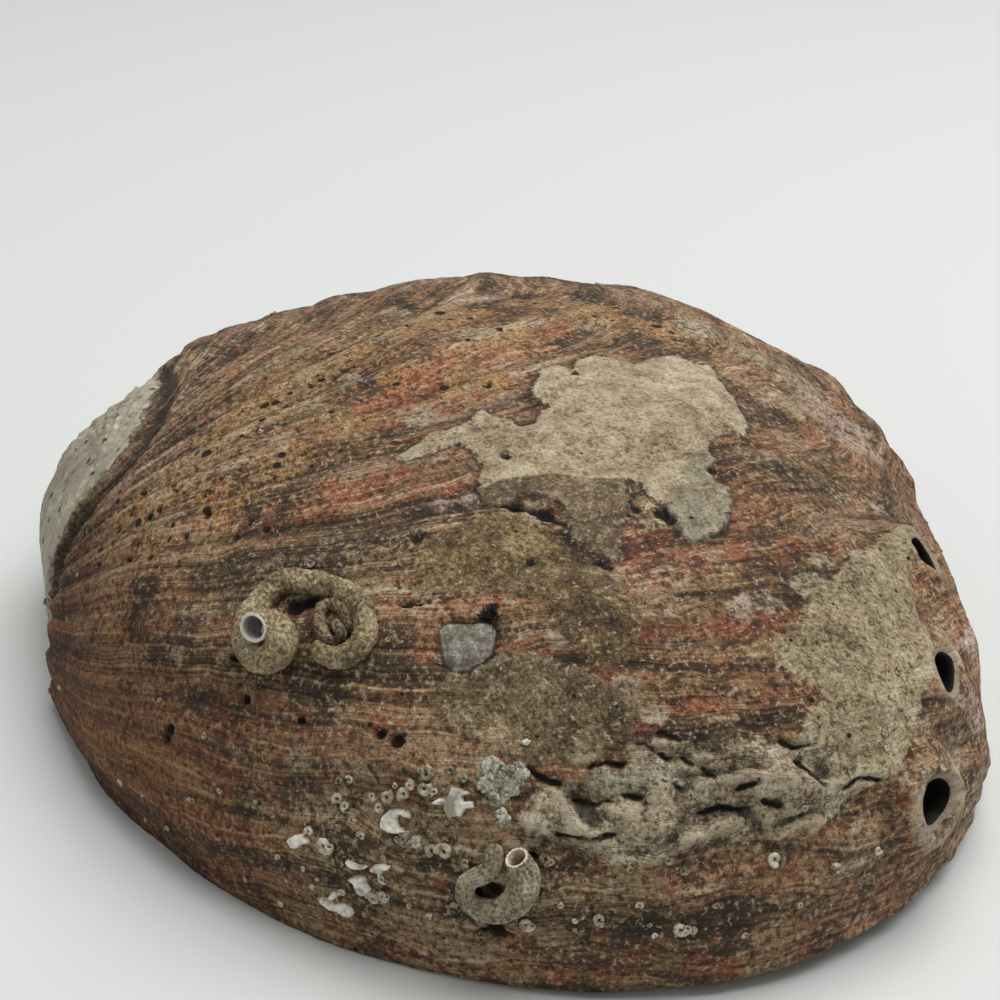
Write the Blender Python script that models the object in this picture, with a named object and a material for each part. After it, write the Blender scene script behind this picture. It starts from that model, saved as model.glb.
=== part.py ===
"""Abalone shell lying on its opening, with two large coiled worm tubes cemented to its outside.

Metres, +Z up, the rim on z = 0. +X is the front end, where the shell grew last, +Y the side with the
breathing holes, and -Y the side of the outer lip. A place on the dome is given by its angle around the
shell and its height angle, 0 at the rim and 90 degrees at the summit.
"""

import bisect
import math

import bmesh
import bpy
from mathutils import Matrix, Vector, noise

MM = 0.001

# Driving sizes of the dome, in metres.
HALF_LENGTH = 90 * MM
HALF_WIDTH = 70.4 * MM
HEIGHT = 49.4 * MM
SUMMIT_X = 5.2 * MM
SUMMIT_Y = -7.8 * MM
ROUNDNESS = 0.80
SIDE_FULLNESS = 0.945
# The shell's box is centred on the origin, and the outline's own middle is this far from it.
MIDDLE_X = 7.8 * MM
MIDDLE_Y = 3.7 * MM
# How far the egg outline departs from an ellipse: blunt rear end, fuller lip side, a slight skew, a squarer end.
EGG = 0.112
LIP_SIDE = 0.062
SKEW = 0.064
SQUARE_END = 0.020
# The front margin is lifted off the table a little, around this angle.
FRONT_LIFT = 3.5 * MM
FRONT_LIFT_AT = 6.4
FRONT_LIFT_SPREAD = 32.0

# Wall and underside.
WALL_TOP = 4.0 * MM
WALL_LIP = 2.6 * MM
WALL_BACK = 4.2 * MM
SHELF_WIDTH = 10.0 * MM
SHELF_HEIGHT = 5.0 * MM
SHELF_MIDDLE = 150.0
SHELF_SPREAD = 62.0
WALL_BACK_SPREAD = 95.0
CUT_BELOW = 8.0 * MM
RIM_CLEAR = 1.5 * MM

# Open breathing holes, newest first: place, then how far the rim of each stands up.
OPEN_HOLES = (
    ((5.6, 12.0), 2.4 * MM),
    ((15.2, 24.8), 1.3 * MM),
    ((34.4, 33.2), 1.3 * MM),
    ((73.0, 31.0), 1.2 * MM),
)
HOLE_LONG = 7.0 * MM
HOLE_ACROSS = 5.4 * MM
# The pin that cuts a hole is a cone: its radius at either end as a share of the hole's size, and its length.
HOLE_INNER_SHARE = 0.42
HOLE_OUTER_SHARE = 0.62
HOLE_PIN_LENGTH = 24 * MM
HOLE_RIM_RADIUS = 4.6 * MM
HOLE_RIM_WIDTH = 2.3 * MM
# Older holes, filled by the shell: low knobs along the row, back round the shell to the spire.
CLOSED_HOLES = (
    (86, 31.5), (102, 30.5), (117, 29), (132, 28), (146, 27.5), (159, 27.5),
    (171, 28.5), (182, 30), (192, 32), (201, 35), (209, 38), (216, 41),
)
KNOB_HEIGHT = 1.3 * MM
KNOB_RADIUS = 6.5 * MM
KNOB_SHRINK = 0.045

# The worn spire at the back of the lip side, and the groove where the last whorl meets it.
SPIRE_AT = (232.0, 22.0)
SPIRE_BULGE = 3.9 * MM
SPIRE_RADIUS = 17.0 * MM
SUTURE = (
    (253, 0), (251.5, 13), (249.5, 22), (248, 30), (246, 37), (242, 41.5), (234, 45), (222, 45), (212, 38),
    (211, 27), (220, 20), (231, 21), (237, 27), (233, 32), (226, 30),
)
SUTURE_OUTER_TURN = 9
SUTURE_DEPTH = 1.9 * MM
SUTURE_WIDTH = 2.4 * MM
INNER_TURN_DEPTH = 0.5 * MM
INNER_TURN_WIDTH = 2.0 * MM
# The lip side steps out near the rim, most at its rear end, fading over this many degrees.
LIP_STEP = 1.6 * MM
LIP_STEP_UP = 14.0
LIP_STEP_FADE = 60.0
LIP_STEP_FROM = 253.0
LIP_STEP_TO = 350.0

# Growth: each old margin is the present one, shrunk and turned about the apex, on the dome pressed flat.
APEX_PLACE = (236.0, 27.0)
GROWTH_RATE = 0.45
AGE_LIMIT = 1.5
AGE_STEPS = 240
LEDGE_HEIGHT = 1.0 * MM
LEDGES_PER_TURN = 34.0
SWELL_HEIGHT = 1.3 * MM
SWELL_SIZE = 24 * MM

# Lumpy, ledgy growth on the front wall: middle, size along and up the wall, and height.
LUMPY_AT = (341.0, 25.0)
LUMPY_ACROSS = 24.0
LUMPY_UP = 9.0
LUMP_HEIGHT = 3.2 * MM
LUMP_SIZE = 8 * MM
# Hollows and bumps that show from a step away: place, radius, depth (a bump is negative).
HOLLOWS = (
    ((336, 60), 4.5 * MM, 1.8 * MM),
    ((274, 26), 3.5 * MM, 1.6 * MM),
    ((337, 31), 4.0 * MM, 1.6 * MM),
    ((351, 31), 4.0 * MM, 1.4 * MM),
    ((29.6, 24), 6.0 * MM, -1.8 * MM),
    ((19.6, 10), 6.0 * MM, -1.6 * MM),
)

# Worm tubes: each route runs from the mouth along the shell, as places on the dome.
TUBE_SIDES_RESOLUTION = 2
UPPER_TUBE_RADIUS = 1.75 * MM
FRONT_TUBE_RADIUS = 1.45 * MM
UPPER_MOUTH_RISE = 3.6 * MM
FRONT_MOUTH_RISE = 2.6 * MM
UPPER_ROUTE = (
    (294.8, 37.2), (296.8, 38.8), (299.2, 37.6), (298.8, 35.2), (296.4, 33.6), (293.2, 34.4), (291.2, 37.2),
    (290.4, 40.8), (292.0, 44.0), (295.2, 46.4), (299.6, 47.6), (304.0, 47.2), (307.2, 45.6), (308.8, 42.8),
    (308.4, 40.0), (306.4, 38.4), (304.0, 39.2), (302.4, 41.2),
)
FRONT_ROUTE = (
    (326.6, 17.8), (328.2, 15.8), (328.4, 13.2), (327.6, 10.8), (326.0, 9.4), (324.2, 9.4), (322.8, 11.2),
    (322.8, 13.6), (324.4, 15.6),
)
TUBE_SINK = 0.55
MOUTH_DEPTH = 4.0 * MM
MOUTH_RADIUS = 0.66
MOUTH_FLARE = 0.35
MOUTH_TAPER = 0.6
TUBE_TAPER = 0.35
GAP = 0.3 * MM

SECTORS = 92
RINGS = 23
INNER_SECTORS = 60
INNER_RINGS = 13
# Faces this near an open hole or the spire are split once more.
FINE_NEAR_HOLE = 11 * MM
FINE_NEAR_SPIRE = 22 * MM


def bell(distance, width):
    """1 at no distance, falling smoothly to 0 past about two widths."""
    return math.exp(-((distance / width) ** 2))


def turn_between(angle, middle):
    """The signed angle from middle to angle, in degrees."""
    return (angle - middle + 180) % 360 - 180


def outline(angle):
    """Distance from the middle of the shell to its margin."""
    t = math.radians(angle)
    ellipse = 1 / math.hypot(math.cos(t) / HALF_LENGTH, math.sin(t) / HALF_WIDTH)
    egg = 1 - EGG * math.cos(t) - LIP_SIDE * math.sin(t) - SKEW * math.sin(2 * t)
    return ellipse * (egg + SQUARE_END * math.cos(3 * t))


def front_lift(angle):
    return FRONT_LIFT * bell(turn_between(angle, FRONT_LIFT_AT), FRONT_LIFT_SPREAD)


def dome(angle, up, inset=0.0, lower=0.0):
    """A point of the smooth dome; inset and lower pull it in to the inner face."""
    t = math.radians(angle)
    h = math.radians(up)
    reach = max(math.cos(h), 0.0) ** SIDE_FULLNESS * (outline(angle) - inset)
    rise = max(math.sin(h), 0.0) ** ROUNDNESS
    lift = front_lift(angle) * max(math.cos(h), 0.0) ** 3
    x = MIDDLE_X + reach * math.cos(t) + SUMMIT_X * rise
    y = MIDDLE_Y + reach * math.sin(t) + SUMMIT_Y * rise
    return Vector((x, y, (HEIGHT - lower) * rise + lift))


def outward(angle, up):
    """The dome's outward direction at a place."""
    up = min(max(up, 0.6), 88.8)
    around = dome(angle + 0.5, up) - dome(angle - 0.5, up)
    rising = dome(angle, up + 0.5) - dome(angle, up - 0.5)
    return around.cross(rising).normalized()


def profile_shares():
    """The way along the shell from the summit down to each height angle, as a share of the outline."""
    way = 0.0
    shares = [0.0]
    for up in range(90, 0, -1):
        way += (dome(90, up) - dome(90, up - 1)).length
        shares.append(way / outline(90))
    return shares[::-1]


PROFILE = profile_shares()


def pressed_flat(angle, up):
    """The dome pressed flat from its summit, where distances are nearly true."""
    low = min(int(up), 89)
    share = PROFILE[low] + (PROFILE[low + 1] - PROFILE[low]) * (up - low)
    t = math.radians(angle)
    return Vector((math.cos(t), math.sin(t))) * outline(angle) * share


APEX_FLAT = pressed_flat(*APEX_PLACE)


def margin_from_apex():
    """The present margin as (direction, distance) pairs seen from the apex, in order of direction."""
    pairs = []
    for step in range(360):
        away = pressed_flat(step, 0) - APEX_FLAT
        pairs.append((math.degrees(math.atan2(away.y, away.x)) % 360, away.length))
    return sorted(pairs)


MARGIN = margin_from_apex()
MARGIN_DIRECTIONS = [direction for direction, _ in MARGIN]


def margin_distance(direction):
    direction = direction % 360
    after = bisect.bisect_right(MARGIN_DIRECTIONS, direction)
    if after == 0 or after == len(MARGIN):
        return MARGIN[0][1]
    before = after - 1
    share = (direction - MARGIN[before][0]) / (MARGIN[after][0] - MARGIN[before][0])
    return MARGIN[before][1] + share * (MARGIN[after][1] - MARGIN[before][1])


def growth_age(angle, up):
    """How many turns ago the shell's margin lay here, 0 at the present margin."""
    away = pressed_flat(angle, up) - APEX_FLAT
    distance = away.length
    direction = math.degrees(math.atan2(away.y, away.x))
    before = margin_distance(direction)
    step_turns = AGE_LIMIT / AGE_STEPS
    for step in range(1, AGE_STEPS):
        turns = step * step_turns
        reach = margin_distance(direction - 360 * turns) * math.exp(-GROWTH_RATE * 2 * math.pi * turns)
        if reach <= distance:
            share = min(max((before - distance) / max(before - reach, 1e-9), 0.0), 1.0)
            return turns - step_turns * (1 - share)
        before = reach
    return AGE_LIMIT


def line_distance(point, line):
    """Distance from a point to a line of short straight runs."""
    nearest = 1.0
    for start, end in zip(line, line[1:]):
        run = end - start
        share = min(max((point - start).dot(run) / run.length_squared, 0.0), 1.0)
        nearest = min(nearest, (point - start - run * share).length)
    return nearest


SUTURE_LINE = [dome(*place) for place in SUTURE]
OUTER_TURN_LINE = SUTURE_LINE[:SUTURE_OUTER_TURN]
INNER_TURN_LINE = SUTURE_LINE[SUTURE_OUTER_TURN - 1:]
HOLE_POINTS = [(dome(*place), rim) for place, rim in OPEN_HOLES]
KNOB_POINTS = [dome(*place) for place in CLOSED_HOLES]


def hole_relief(point):
    """Raised rims round the open holes and low knobs over the filled ones."""
    height = 0.0
    for centre, rim in HOLE_POINTS:
        away = (point - centre).length
        height += rim * bell(away - HOLE_RIM_RADIUS, HOLE_RIM_WIDTH)
    for index, centre in enumerate(KNOB_POINTS):
        size = 1 - KNOB_SHRINK * index
        height += KNOB_HEIGHT * size * bell((point - centre).length, KNOB_RADIUS * size)
    return height


def ledge_relief(angle, up, point):
    """Old margins: each stands proud and drops to the next one."""
    age = growth_age(angle, up)
    wander = noise.noise(point / (30 * MM)) * 0.35
    phase = (age * LEDGES_PER_TURN + wander) % 1.0
    step = phase if phase < 0.75 else (1 - phase) * 3
    return LEDGE_HEIGHT * (step - 0.4) * bell(age, 0.62)


def lump_relief(angle, up, point):
    spread = math.hypot(turn_between(angle, LUMPY_AT[0]) / LUMPY_ACROSS, (up - LUMPY_AT[1]) / LUMPY_UP)
    return LUMP_HEIGHT * bell(spread, 1.0) * (0.45 + noise.noise(point / LUMP_SIZE))


def relief(angle, up, point):
    """How far the real surface stands off the smooth dome."""
    height = SWELL_HEIGHT * noise.noise(point / SWELL_SIZE)
    height += ledge_relief(angle, up, point)
    height += hole_relief(point)
    height += lump_relief(angle, up, point)
    height += SPIRE_BULGE * bell((point - dome(*SPIRE_AT)).length, SPIRE_RADIUS)
    height -= SUTURE_DEPTH * bell(line_distance(point, OUTER_TURN_LINE), SUTURE_WIDTH)
    height -= INNER_TURN_DEPTH * bell(line_distance(point, INNER_TURN_LINE), INNER_TURN_WIDTH)
    if LIP_STEP_FROM < angle % 360 < LIP_STEP_TO:
        fade = min((LIP_STEP_TO - angle % 360) / LIP_STEP_FADE, 1.0)
        height += LIP_STEP * bell(up, LIP_STEP_UP) * fade
    for place, radius, depth in HOLLOWS:
        height -= depth * bell((point - dome(*place)).length, radius)
    return height


def surface(angle, up, off=0.0):
    """A point of the real outside, moved off it by a small distance."""
    point = dome(angle, up)
    edge = min(up / 6, 1.0)
    direction = outward(angle, up)
    direction.z *= edge
    return point + direction * (relief(angle, up, point) + off)


def material(name, colour, roughness):
    finish = bpy.data.materials.new(name)
    finish.use_nodes = True
    shader = finish.node_tree.nodes["Principled BSDF"]
    shader.inputs["Base Color"].default_value = (*colour, 1)
    shader.inputs["Roughness"].default_value = roughness
    shader.inputs["Metallic"].default_value = 0
    return finish


def half_sphere(sectors, rings):
    """The upper half of a unit ball, its open edge on z = 0."""
    bm = bmesh.new()
    bmesh.ops.create_uvsphere(bm, u_segments=sectors, v_segments=2 * rings, radius=1)
    everything = bm.verts[:] + bm.edges[:] + bm.faces[:]
    bmesh.ops.bisect_plane(
        bm, geom=everything, dist=1e-5, plane_co=(0, 0, 0), plane_no=(0, 0, -1), clear_outer=True
    )
    return bm


def place_on_ball(co):
    angle = math.degrees(math.atan2(co.y, co.x)) % 360
    up = math.degrees(math.asin(min(max(co.z / co.length, 0.0), 1.0)))
    return angle, up


def refine(bm):
    """Splits the faces round the open holes and the spire, where the forms are small."""
    spots = [(centre, FINE_NEAR_HOLE) for centre, _ in HOLE_POINTS]
    spots.append((dome(*SPIRE_AT), FINE_NEAR_SPIRE))
    edges = []
    for edge in bm.edges:
        middle = dome(*place_on_ball((edge.verts[0].co + edge.verts[1].co) / 2))
        if not edge.is_boundary and any((middle - spot).length < radius for spot, radius in spots):
            edges.append(edge)
    bmesh.ops.subdivide_edges(bm, edges=edges, cuts=1, use_grid_fill=True)


def as_object(name, bm, collection, finish=None):
    mesh = bpy.data.meshes.new(name)
    bm.to_mesh(mesh)
    bm.free()
    obj = bpy.data.objects.new(name, mesh)
    collection.objects.link(obj)
    if finish:
        mesh.materials.append(finish)
        mesh.shade_smooth()
    return obj


def close_at(bm, centre):
    """Joins the open edge to one point below it."""
    boundary = [edge for edge in bm.edges if edge.is_boundary]
    made = bmesh.ops.extrude_edge_only(bm, edges=boundary)["geom"]
    for vertex in made:
        if isinstance(vertex, bmesh.types.BMVert):
            vertex.co = centre
    bmesh.ops.remove_doubles(bm, verts=bm.verts[:], dist=1e-6)
    bmesh.ops.triangulate(bm, faces=bm.faces[:])
    bmesh.ops.recalc_face_normals(bm, faces=bm.faces[:])


def outer_form(off):
    """The solid form of the outside, or that form grown by a small distance."""
    bm = half_sphere(SECTORS, RINGS)
    refine(bm)
    for vertex in bm.verts:
        vertex.co = surface(*place_on_ball(vertex.co), off)
    close_at(bm, Vector((MIDDLE_X, MIDDLE_Y, 0)))
    return bm


def wall_at(angle):
    """Thickness at the rim: thin on the growing lip, thick under the holes and the spire."""
    back = bell(turn_between(angle, SHELF_MIDDLE), WALL_BACK_SPREAD)
    return WALL_LIP + (WALL_BACK - WALL_LIP) * back


def cavity_form():
    """The hollow, with the inner lip left as a flat shelf along the hole side and the back."""
    bm = half_sphere(INNER_SECTORS, INNER_RINGS)
    for vertex in bm.verts:
        angle, up = place_on_ball(vertex.co)
        point = dome(angle, up, inset=wall_at(angle), lower=WALL_TOP)
        shelf = SHELF_WIDTH * bell(turn_between(angle, SHELF_MIDDLE), SHELF_SPREAD)
        share = bell(point.z, SHELF_HEIGHT)
        t = math.radians(angle)
        vertex.co = point - Vector((math.cos(t), math.sin(t), 0)) * shelf * share
        if up < 0.1:
            vertex.co.z -= RIM_CLEAR
    rim = [edge for edge in bm.edges if edge.is_boundary]
    made = bmesh.ops.extrude_edge_only(bm, edges=rim)["geom"]
    lowered = [vertex for vertex in made if isinstance(vertex, bmesh.types.BMVert)]
    for vertex in lowered:
        vertex.co.z = -CUT_BELOW
    close_at(bm, Vector((MIDDLE_X, MIDDLE_Y, -CUT_BELOW - MM)))
    return bm


def hole_cutter(place):
    """An oval pin through the wall at one breathing hole, long way along the row."""
    angle, up = place
    direction = outward(angle, up)
    along = (dome(angle + 3, up + 1) - dome(angle - 3, up - 1)).normalized()
    across = direction.cross(along).normalized()
    along = across.cross(direction)
    bm = bmesh.new()
    bmesh.ops.create_cone(
        bm, cap_ends=True, segments=14, radius1=HOLE_INNER_SHARE, radius2=HOLE_OUTER_SHARE, depth=HOLE_PIN_LENGTH
    )
    turn = Matrix((along, across, direction)).transposed().to_4x4()
    stretch = Matrix.Diagonal((HOLE_LONG, HOLE_ACROSS, 1, 1))
    bmesh.ops.transform(bm, matrix=Matrix.Translation(dome(angle, up)) @ turn @ stretch, verts=bm.verts[:])
    bmesh.ops.recalc_face_normals(bm, faces=bm.faces[:])
    return bm


def cut(obj, cutter):
    modifier = obj.modifiers.new("cut_" + cutter.name, "BOOLEAN")
    modifier.operation = "DIFFERENCE"
    modifier.solver = "EXACT"
    modifier.object = cutter


def as_cutter(name, bm, collection):
    obj = as_object(name, bm, collection)
    obj.hide_render = True
    obj.display_type = "WIRE"
    return obj


def make_shell(parts, cutters):
    finish = material("outer_shell_brick_red", (0.30, 0.17, 0.11), 0.62)
    shell = as_object("shell", outer_form(0.0), parts, finish)
    cut(shell, as_cutter("cavity", cavity_form(), cutters))
    for index, (place, _) in enumerate(OPEN_HOLES):
        cut(shell, as_cutter(f"breathing_hole_{index + 1}", hole_cutter(place), cutters))
    return shell


def smooth_route(points, steps):
    """A round curve through hand-placed points."""
    route = []
    for index in range(len(points) - 1):
        before = points[max(index - 1, 0)]
        start = points[index]
        end = points[index + 1]
        after = points[min(index + 2, len(points) - 1)]
        for step in range(steps):
            s = step / steps
            route.append(
                0.5 * (
                    2 * start + (end - before) * s + (2 * before - 5 * start + 4 * end - after) * s ** 2
                    + (3 * start - before - 3 * end + after) * s ** 3
                )
            )
    route.append(points[-1])
    return route


def tube_route(places, radius, mouth_rise):
    """The worm tube's centre line: on the surface, with its mouth turned up off it."""
    points = []
    for index, (angle, up) in enumerate(places):
        rise = radius * TUBE_SINK + mouth_rise * bell(index, 1.6)
        points.append(surface(angle, up, rise))
    return smooth_route(points, 3)


def make_tube(name, places, radius, mouth_rise, parts, cutters, grown):
    route = tube_route(places, radius, mouth_rise)
    curve = bpy.data.curves.new(name + "_path", "CURVE")
    curve.dimensions = "3D"
    curve.bevel_depth = radius
    curve.bevel_resolution = TUBE_SIDES_RESOLUTION
    curve.use_fill_caps = True
    spline = curve.splines.new("POLY")
    spline.points.add(len(route) - 1)
    for index, (point, place) in enumerate(zip(spline.points, route)):
        point.co = (*place, 1)
        share = index / (len(route) - 1)
        point.radius = 1.0 + MOUTH_FLARE * bell(share, 0.12) - TUBE_TAPER * share ** 2
    guide = bpy.data.objects.new(name + "_path", curve)
    cutters.objects.link(guide)
    graph = bpy.context.evaluated_depsgraph_get()
    mesh = bpy.data.meshes.new_from_object(guide.evaluated_get(graph))
    bm = bmesh.new()
    bm.from_mesh(mesh)
    bmesh.ops.remove_doubles(bm, verts=bm.verts[:], dist=1e-6)
    bmesh.ops.recalc_face_normals(bm, faces=bm.faces[:])
    bpy.data.objects.remove(guide)
    tube = as_object(name, bm, parts, material(name + "_chalky_tan", (0.42, 0.34, 0.25), 0.85))
    mouth = bmesh.new()
    deep = radius * MOUTH_RADIUS * MOUTH_TAPER
    wide = radius * MOUTH_RADIUS * (1 + MOUTH_FLARE)
    bmesh.ops.create_cone(mouth, cap_ends=True, segments=10, radius1=deep, radius2=wide, depth=MOUTH_DEPTH)
    facing = (route[0] - route[2]).normalized()
    turn = facing.to_track_quat("Z", "Y").to_matrix().to_4x4()
    start = route[0] - facing * (MOUTH_DEPTH * 0.5 - MM)
    bmesh.ops.transform(mouth, matrix=Matrix.Translation(start) @ turn, verts=mouth.verts[:])
    cut(tube, as_cutter(name + "_mouth", mouth, cutters))
    cut(tube, grown)
    return tube


def main():
    for obj in list(bpy.data.objects):
        bpy.data.objects.remove(obj)
    parts = bpy.data.collections.new("abalone_shell")
    cutters = bpy.data.collections.new("cutters")
    bpy.context.scene.collection.children.link(parts)
    bpy.context.scene.collection.children.link(cutters)
    make_shell(parts, cutters)
    grown = as_cutter("shell_grown_by_gap", outer_form(GAP), cutters)
    make_tube("worm_tube_upper", UPPER_ROUTE, UPPER_TUBE_RADIUS, UPPER_MOUTH_RISE, parts, cutters, grown)
    make_tube("worm_tube_front", FRONT_ROUTE, FRONT_TUBE_RADIUS, FRONT_MOUTH_RISE, parts, cutters, grown)


main()
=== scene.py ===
# %% [markdown]
# # A weathered abalone shell
# A red abalone shell lies on its opening on a pale table. Its outside is brick red limestone in fine growth
# lines, half hidden by crusts, pits and small coiled worm tubes. Everything here is built in metres on the
# frame of the solid model, so a piece goes where the solid is, with no fitting.

import math

import bmesh
import bpy
import numpy as np
from mathutils import Matrix, Vector, noise
from mathutils.bvhtree import BVHTree
from mathutils.geometry import barycentric_transform
from mathutils.kdtree import KDTree


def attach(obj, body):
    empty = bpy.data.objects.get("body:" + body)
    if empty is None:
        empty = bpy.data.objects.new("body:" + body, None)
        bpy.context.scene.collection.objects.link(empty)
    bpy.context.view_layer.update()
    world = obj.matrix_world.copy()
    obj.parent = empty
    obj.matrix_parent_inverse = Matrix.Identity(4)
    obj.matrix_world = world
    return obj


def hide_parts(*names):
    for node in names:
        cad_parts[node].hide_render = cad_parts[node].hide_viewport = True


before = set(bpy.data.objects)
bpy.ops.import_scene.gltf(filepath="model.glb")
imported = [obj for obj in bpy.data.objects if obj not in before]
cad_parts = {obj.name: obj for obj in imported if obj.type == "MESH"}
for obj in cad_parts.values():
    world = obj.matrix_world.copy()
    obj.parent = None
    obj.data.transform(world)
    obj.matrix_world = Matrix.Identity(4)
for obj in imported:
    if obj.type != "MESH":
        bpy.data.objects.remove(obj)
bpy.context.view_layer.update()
MM = 0.001
bpy.context.scene.view_settings.view_transform = "Standard"
print("nodes:", sorted(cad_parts))

# %% [markdown]
# The shell is close to a lopsided dome. The real one grew along a spiral, but a person who draws it starts
# from the egg outline of its opening and the height of its back, so those are the driving sizes here. A
# place on the dome is an angle around it and a height angle, 0 at the rim and 90 degrees at the summit.

# %% The smooth dome
HALF_LENGTH, HALF_WIDTH, HEIGHT = 90 * MM, 70.4 * MM, 49.4 * MM
SUMMIT_X, SUMMIT_Y = 5.2 * MM, -7.8 * MM
ROUNDNESS, SIDE_FULLNESS = 0.80, 0.945
MIDDLE_X, MIDDLE_Y = 7.8 * MM, 3.7 * MM
EGG, LIP_SIDE, SKEW, SQUARE_END = 0.112, 0.062, 0.064, 0.020
FRONT_LIFT, FRONT_LIFT_AT, FRONT_LIFT_SPREAD = 3.5 * MM, 6.4, 32.0


def bell(distance, width):
    """1 at no distance, falling smoothly to 0 past about two widths."""
    return np.exp(-((distance / width) ** 2))


def turn_between(angle, middle):
    return (angle - middle + 180) % 360 - 180


def outline(angle):
    """Distance from the middle of the shell to its margin."""
    t = np.radians(angle)
    ellipse = 1 / np.hypot(np.cos(t) / HALF_LENGTH, np.sin(t) / HALF_WIDTH)
    egg = 1 - EGG * np.cos(t) - LIP_SIDE * np.sin(t) - SKEW * np.sin(2 * t)
    return ellipse * (egg + SQUARE_END * np.cos(3 * t))


def front_lift(angle):
    return FRONT_LIFT * bell(turn_between(angle, FRONT_LIFT_AT), FRONT_LIFT_SPREAD)


def dome(angle, up, inset=0.0, lower=0.0):
    """Points of the smooth dome, for arrays of places."""
    angle, up = np.broadcast_arrays(np.asarray(angle, float), np.asarray(up, float))
    t, h = np.radians(angle), np.radians(up)
    reach = np.cos(h).clip(0) ** SIDE_FULLNESS * (outline(angle) - inset)
    rise = np.sin(h).clip(0) ** ROUNDNESS
    x = MIDDLE_X + reach * np.cos(t) + SUMMIT_X * rise
    y = MIDDLE_Y + reach * np.sin(t) + SUMMIT_Y * rise
    z = (HEIGHT - lower) * rise + front_lift(angle) * np.cos(h).clip(0) ** 3
    return np.stack([x, y, z], -1)


def outward(angle, up):
    """Unit vectors that point away from the dome."""
    up = np.clip(up, 0.6, 88.8)
    around = dome(angle + 0.5, up) - dome(angle - 0.5, up)
    rising = dome(angle, up + 0.5) - dome(angle, up - 0.5)
    normal = np.cross(around, rising)
    return normal / np.linalg.norm(normal, axis=-1, keepdims=True)


# %% [markdown]
# Growth lines and crusts need a map of the outside on which distances are nearly true. Pressing the dome
# flat from its summit gives one: the direction stays, and the distance from the summit is measured along
# the shell.

# %% The dome pressed flat
PROFILE_UP = np.linspace(0, 90, 181)
profile = dome(90.0, PROFILE_UP)
profile_steps = np.linalg.norm(np.diff(profile, axis=0), axis=1)
PROFILE_SHARE = np.append(np.cumsum(profile_steps[::-1])[::-1], 0) / outline(90.0)


def pressed_flat(angle, up):
    reach = outline(angle) * np.interp(up, PROFILE_UP, PROFILE_SHARE)
    t = np.radians(angle)
    return np.stack([reach * np.cos(t), reach * np.sin(t)], -1)


print("the side wall is", round(float(PROFILE_SHARE[0] * outline(90.0)) * 1000, 1), "mm from rim to summit")

# %% [markdown]
# An abalone grows by adding shell along its lip. Every old lip has the shape of the present one, smaller
# and turned about the apex, so a place's age is the number of turns back to the lip that lay there. Lines
# of equal age are the growth lines, which run along the wall and fan out from the spire.

# %% Age of each place
APEX_PLACE = (236.0, 27.0)
GROWTH_RATE = 0.45
AGE_LIMIT, AGE_STEPS = 1.5, 420
APEX_FLAT = pressed_flat(*APEX_PLACE)
lip = pressed_flat(np.arange(0.0, 360.0), np.zeros(360)) - APEX_FLAT
lip_direction = np.degrees(np.arctan2(lip[:, 1], lip[:, 0])) % 360
lip_order = np.argsort(lip_direction)
LIP_DIRECTION, LIP_DISTANCE = lip_direction[lip_order], np.hypot(*lip.T)[lip_order]


def growth(flat):
    """The age in turns, the direction from the apex and the distance from it."""
    away = flat - APEX_FLAT
    distance = np.hypot(away[:, 0], away[:, 1])
    direction = np.degrees(np.arctan2(away[:, 1], away[:, 0]))
    age = np.full(len(flat), AGE_LIMIT)
    before = np.interp(direction, LIP_DIRECTION, LIP_DISTANCE, period=360)
    open_ended = np.ones(len(flat), bool)
    for step in range(1, AGE_STEPS):
        turns = AGE_LIMIT * step / AGE_STEPS
        shrink = math.exp(-GROWTH_RATE * 2 * math.pi * turns)
        reach = np.interp(direction - 360 * turns, LIP_DIRECTION, LIP_DISTANCE, period=360) * shrink
        crossed = open_ended & (reach <= distance)
        share = ((before - distance) / np.maximum(before - reach, 1e-9)).clip(0, 1)
        age[crossed] = (turns - AGE_LIMIT / AGE_STEPS * (1 - share))[crossed]
        open_ended &= ~crossed
        before = reach
    return age, direction, distance


# %% [markdown]
# The outside starts as a ball of even triangles, cut at the table, and each corner then moves to its place
# on the dome. A ball of even triangles is chosen over a globe's rings because it has no pole to crowd the
# summit.

# %% A half ball of even triangles
BALL_LEVEL = 8


def half_ball(level):
    bm = bmesh.new()
    bmesh.ops.create_icosphere(bm, subdivisions=level, radius=1)
    everything = bm.verts[:] + bm.edges[:] + bm.faces[:]
    bmesh.ops.bisect_plane(
        bm, geom=everything, dist=1e-5, plane_co=(0, 0, 0), plane_no=(0, 0, -1), clear_outer=True
    )
    return bm


def positions(mesh):
    co = np.empty(len(mesh.vertices) * 3)
    mesh.vertices.foreach_get("co", co)
    return co.reshape(-1, 3)


def places_on_ball(co):
    up = np.degrees(np.arcsin((co[:, 2] / np.linalg.norm(co, axis=1)).clip(0, 1)))
    return np.degrees(np.arctan2(co[:, 1], co[:, 0])) % 360, up


ball = half_ball(BALL_LEVEL)
outside = bpy.data.meshes.new("outside")
ball.to_mesh(outside)
ball.free()
ANGLE, UP = places_on_ball(positions(outside))
DOME_POINTS = dome(ANGLE, UP)
OUTWARD = outward(ANGLE, UP)
FLAT = pressed_flat(ANGLE, UP)
AGE, TURN, FROM_APEX = growth(FLAT)
edge_ends = np.empty(len(outside.edges) * 2, np.int64)
outside.edges.foreach_get("vertices", edge_ends)
EDGE_A, EDGE_B = edge_ends.reshape(-1, 2).T
NEIGHBOURS = np.bincount(EDGE_A, minlength=len(FLAT)) + np.bincount(EDGE_B, minlength=len(FLAT))


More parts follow.
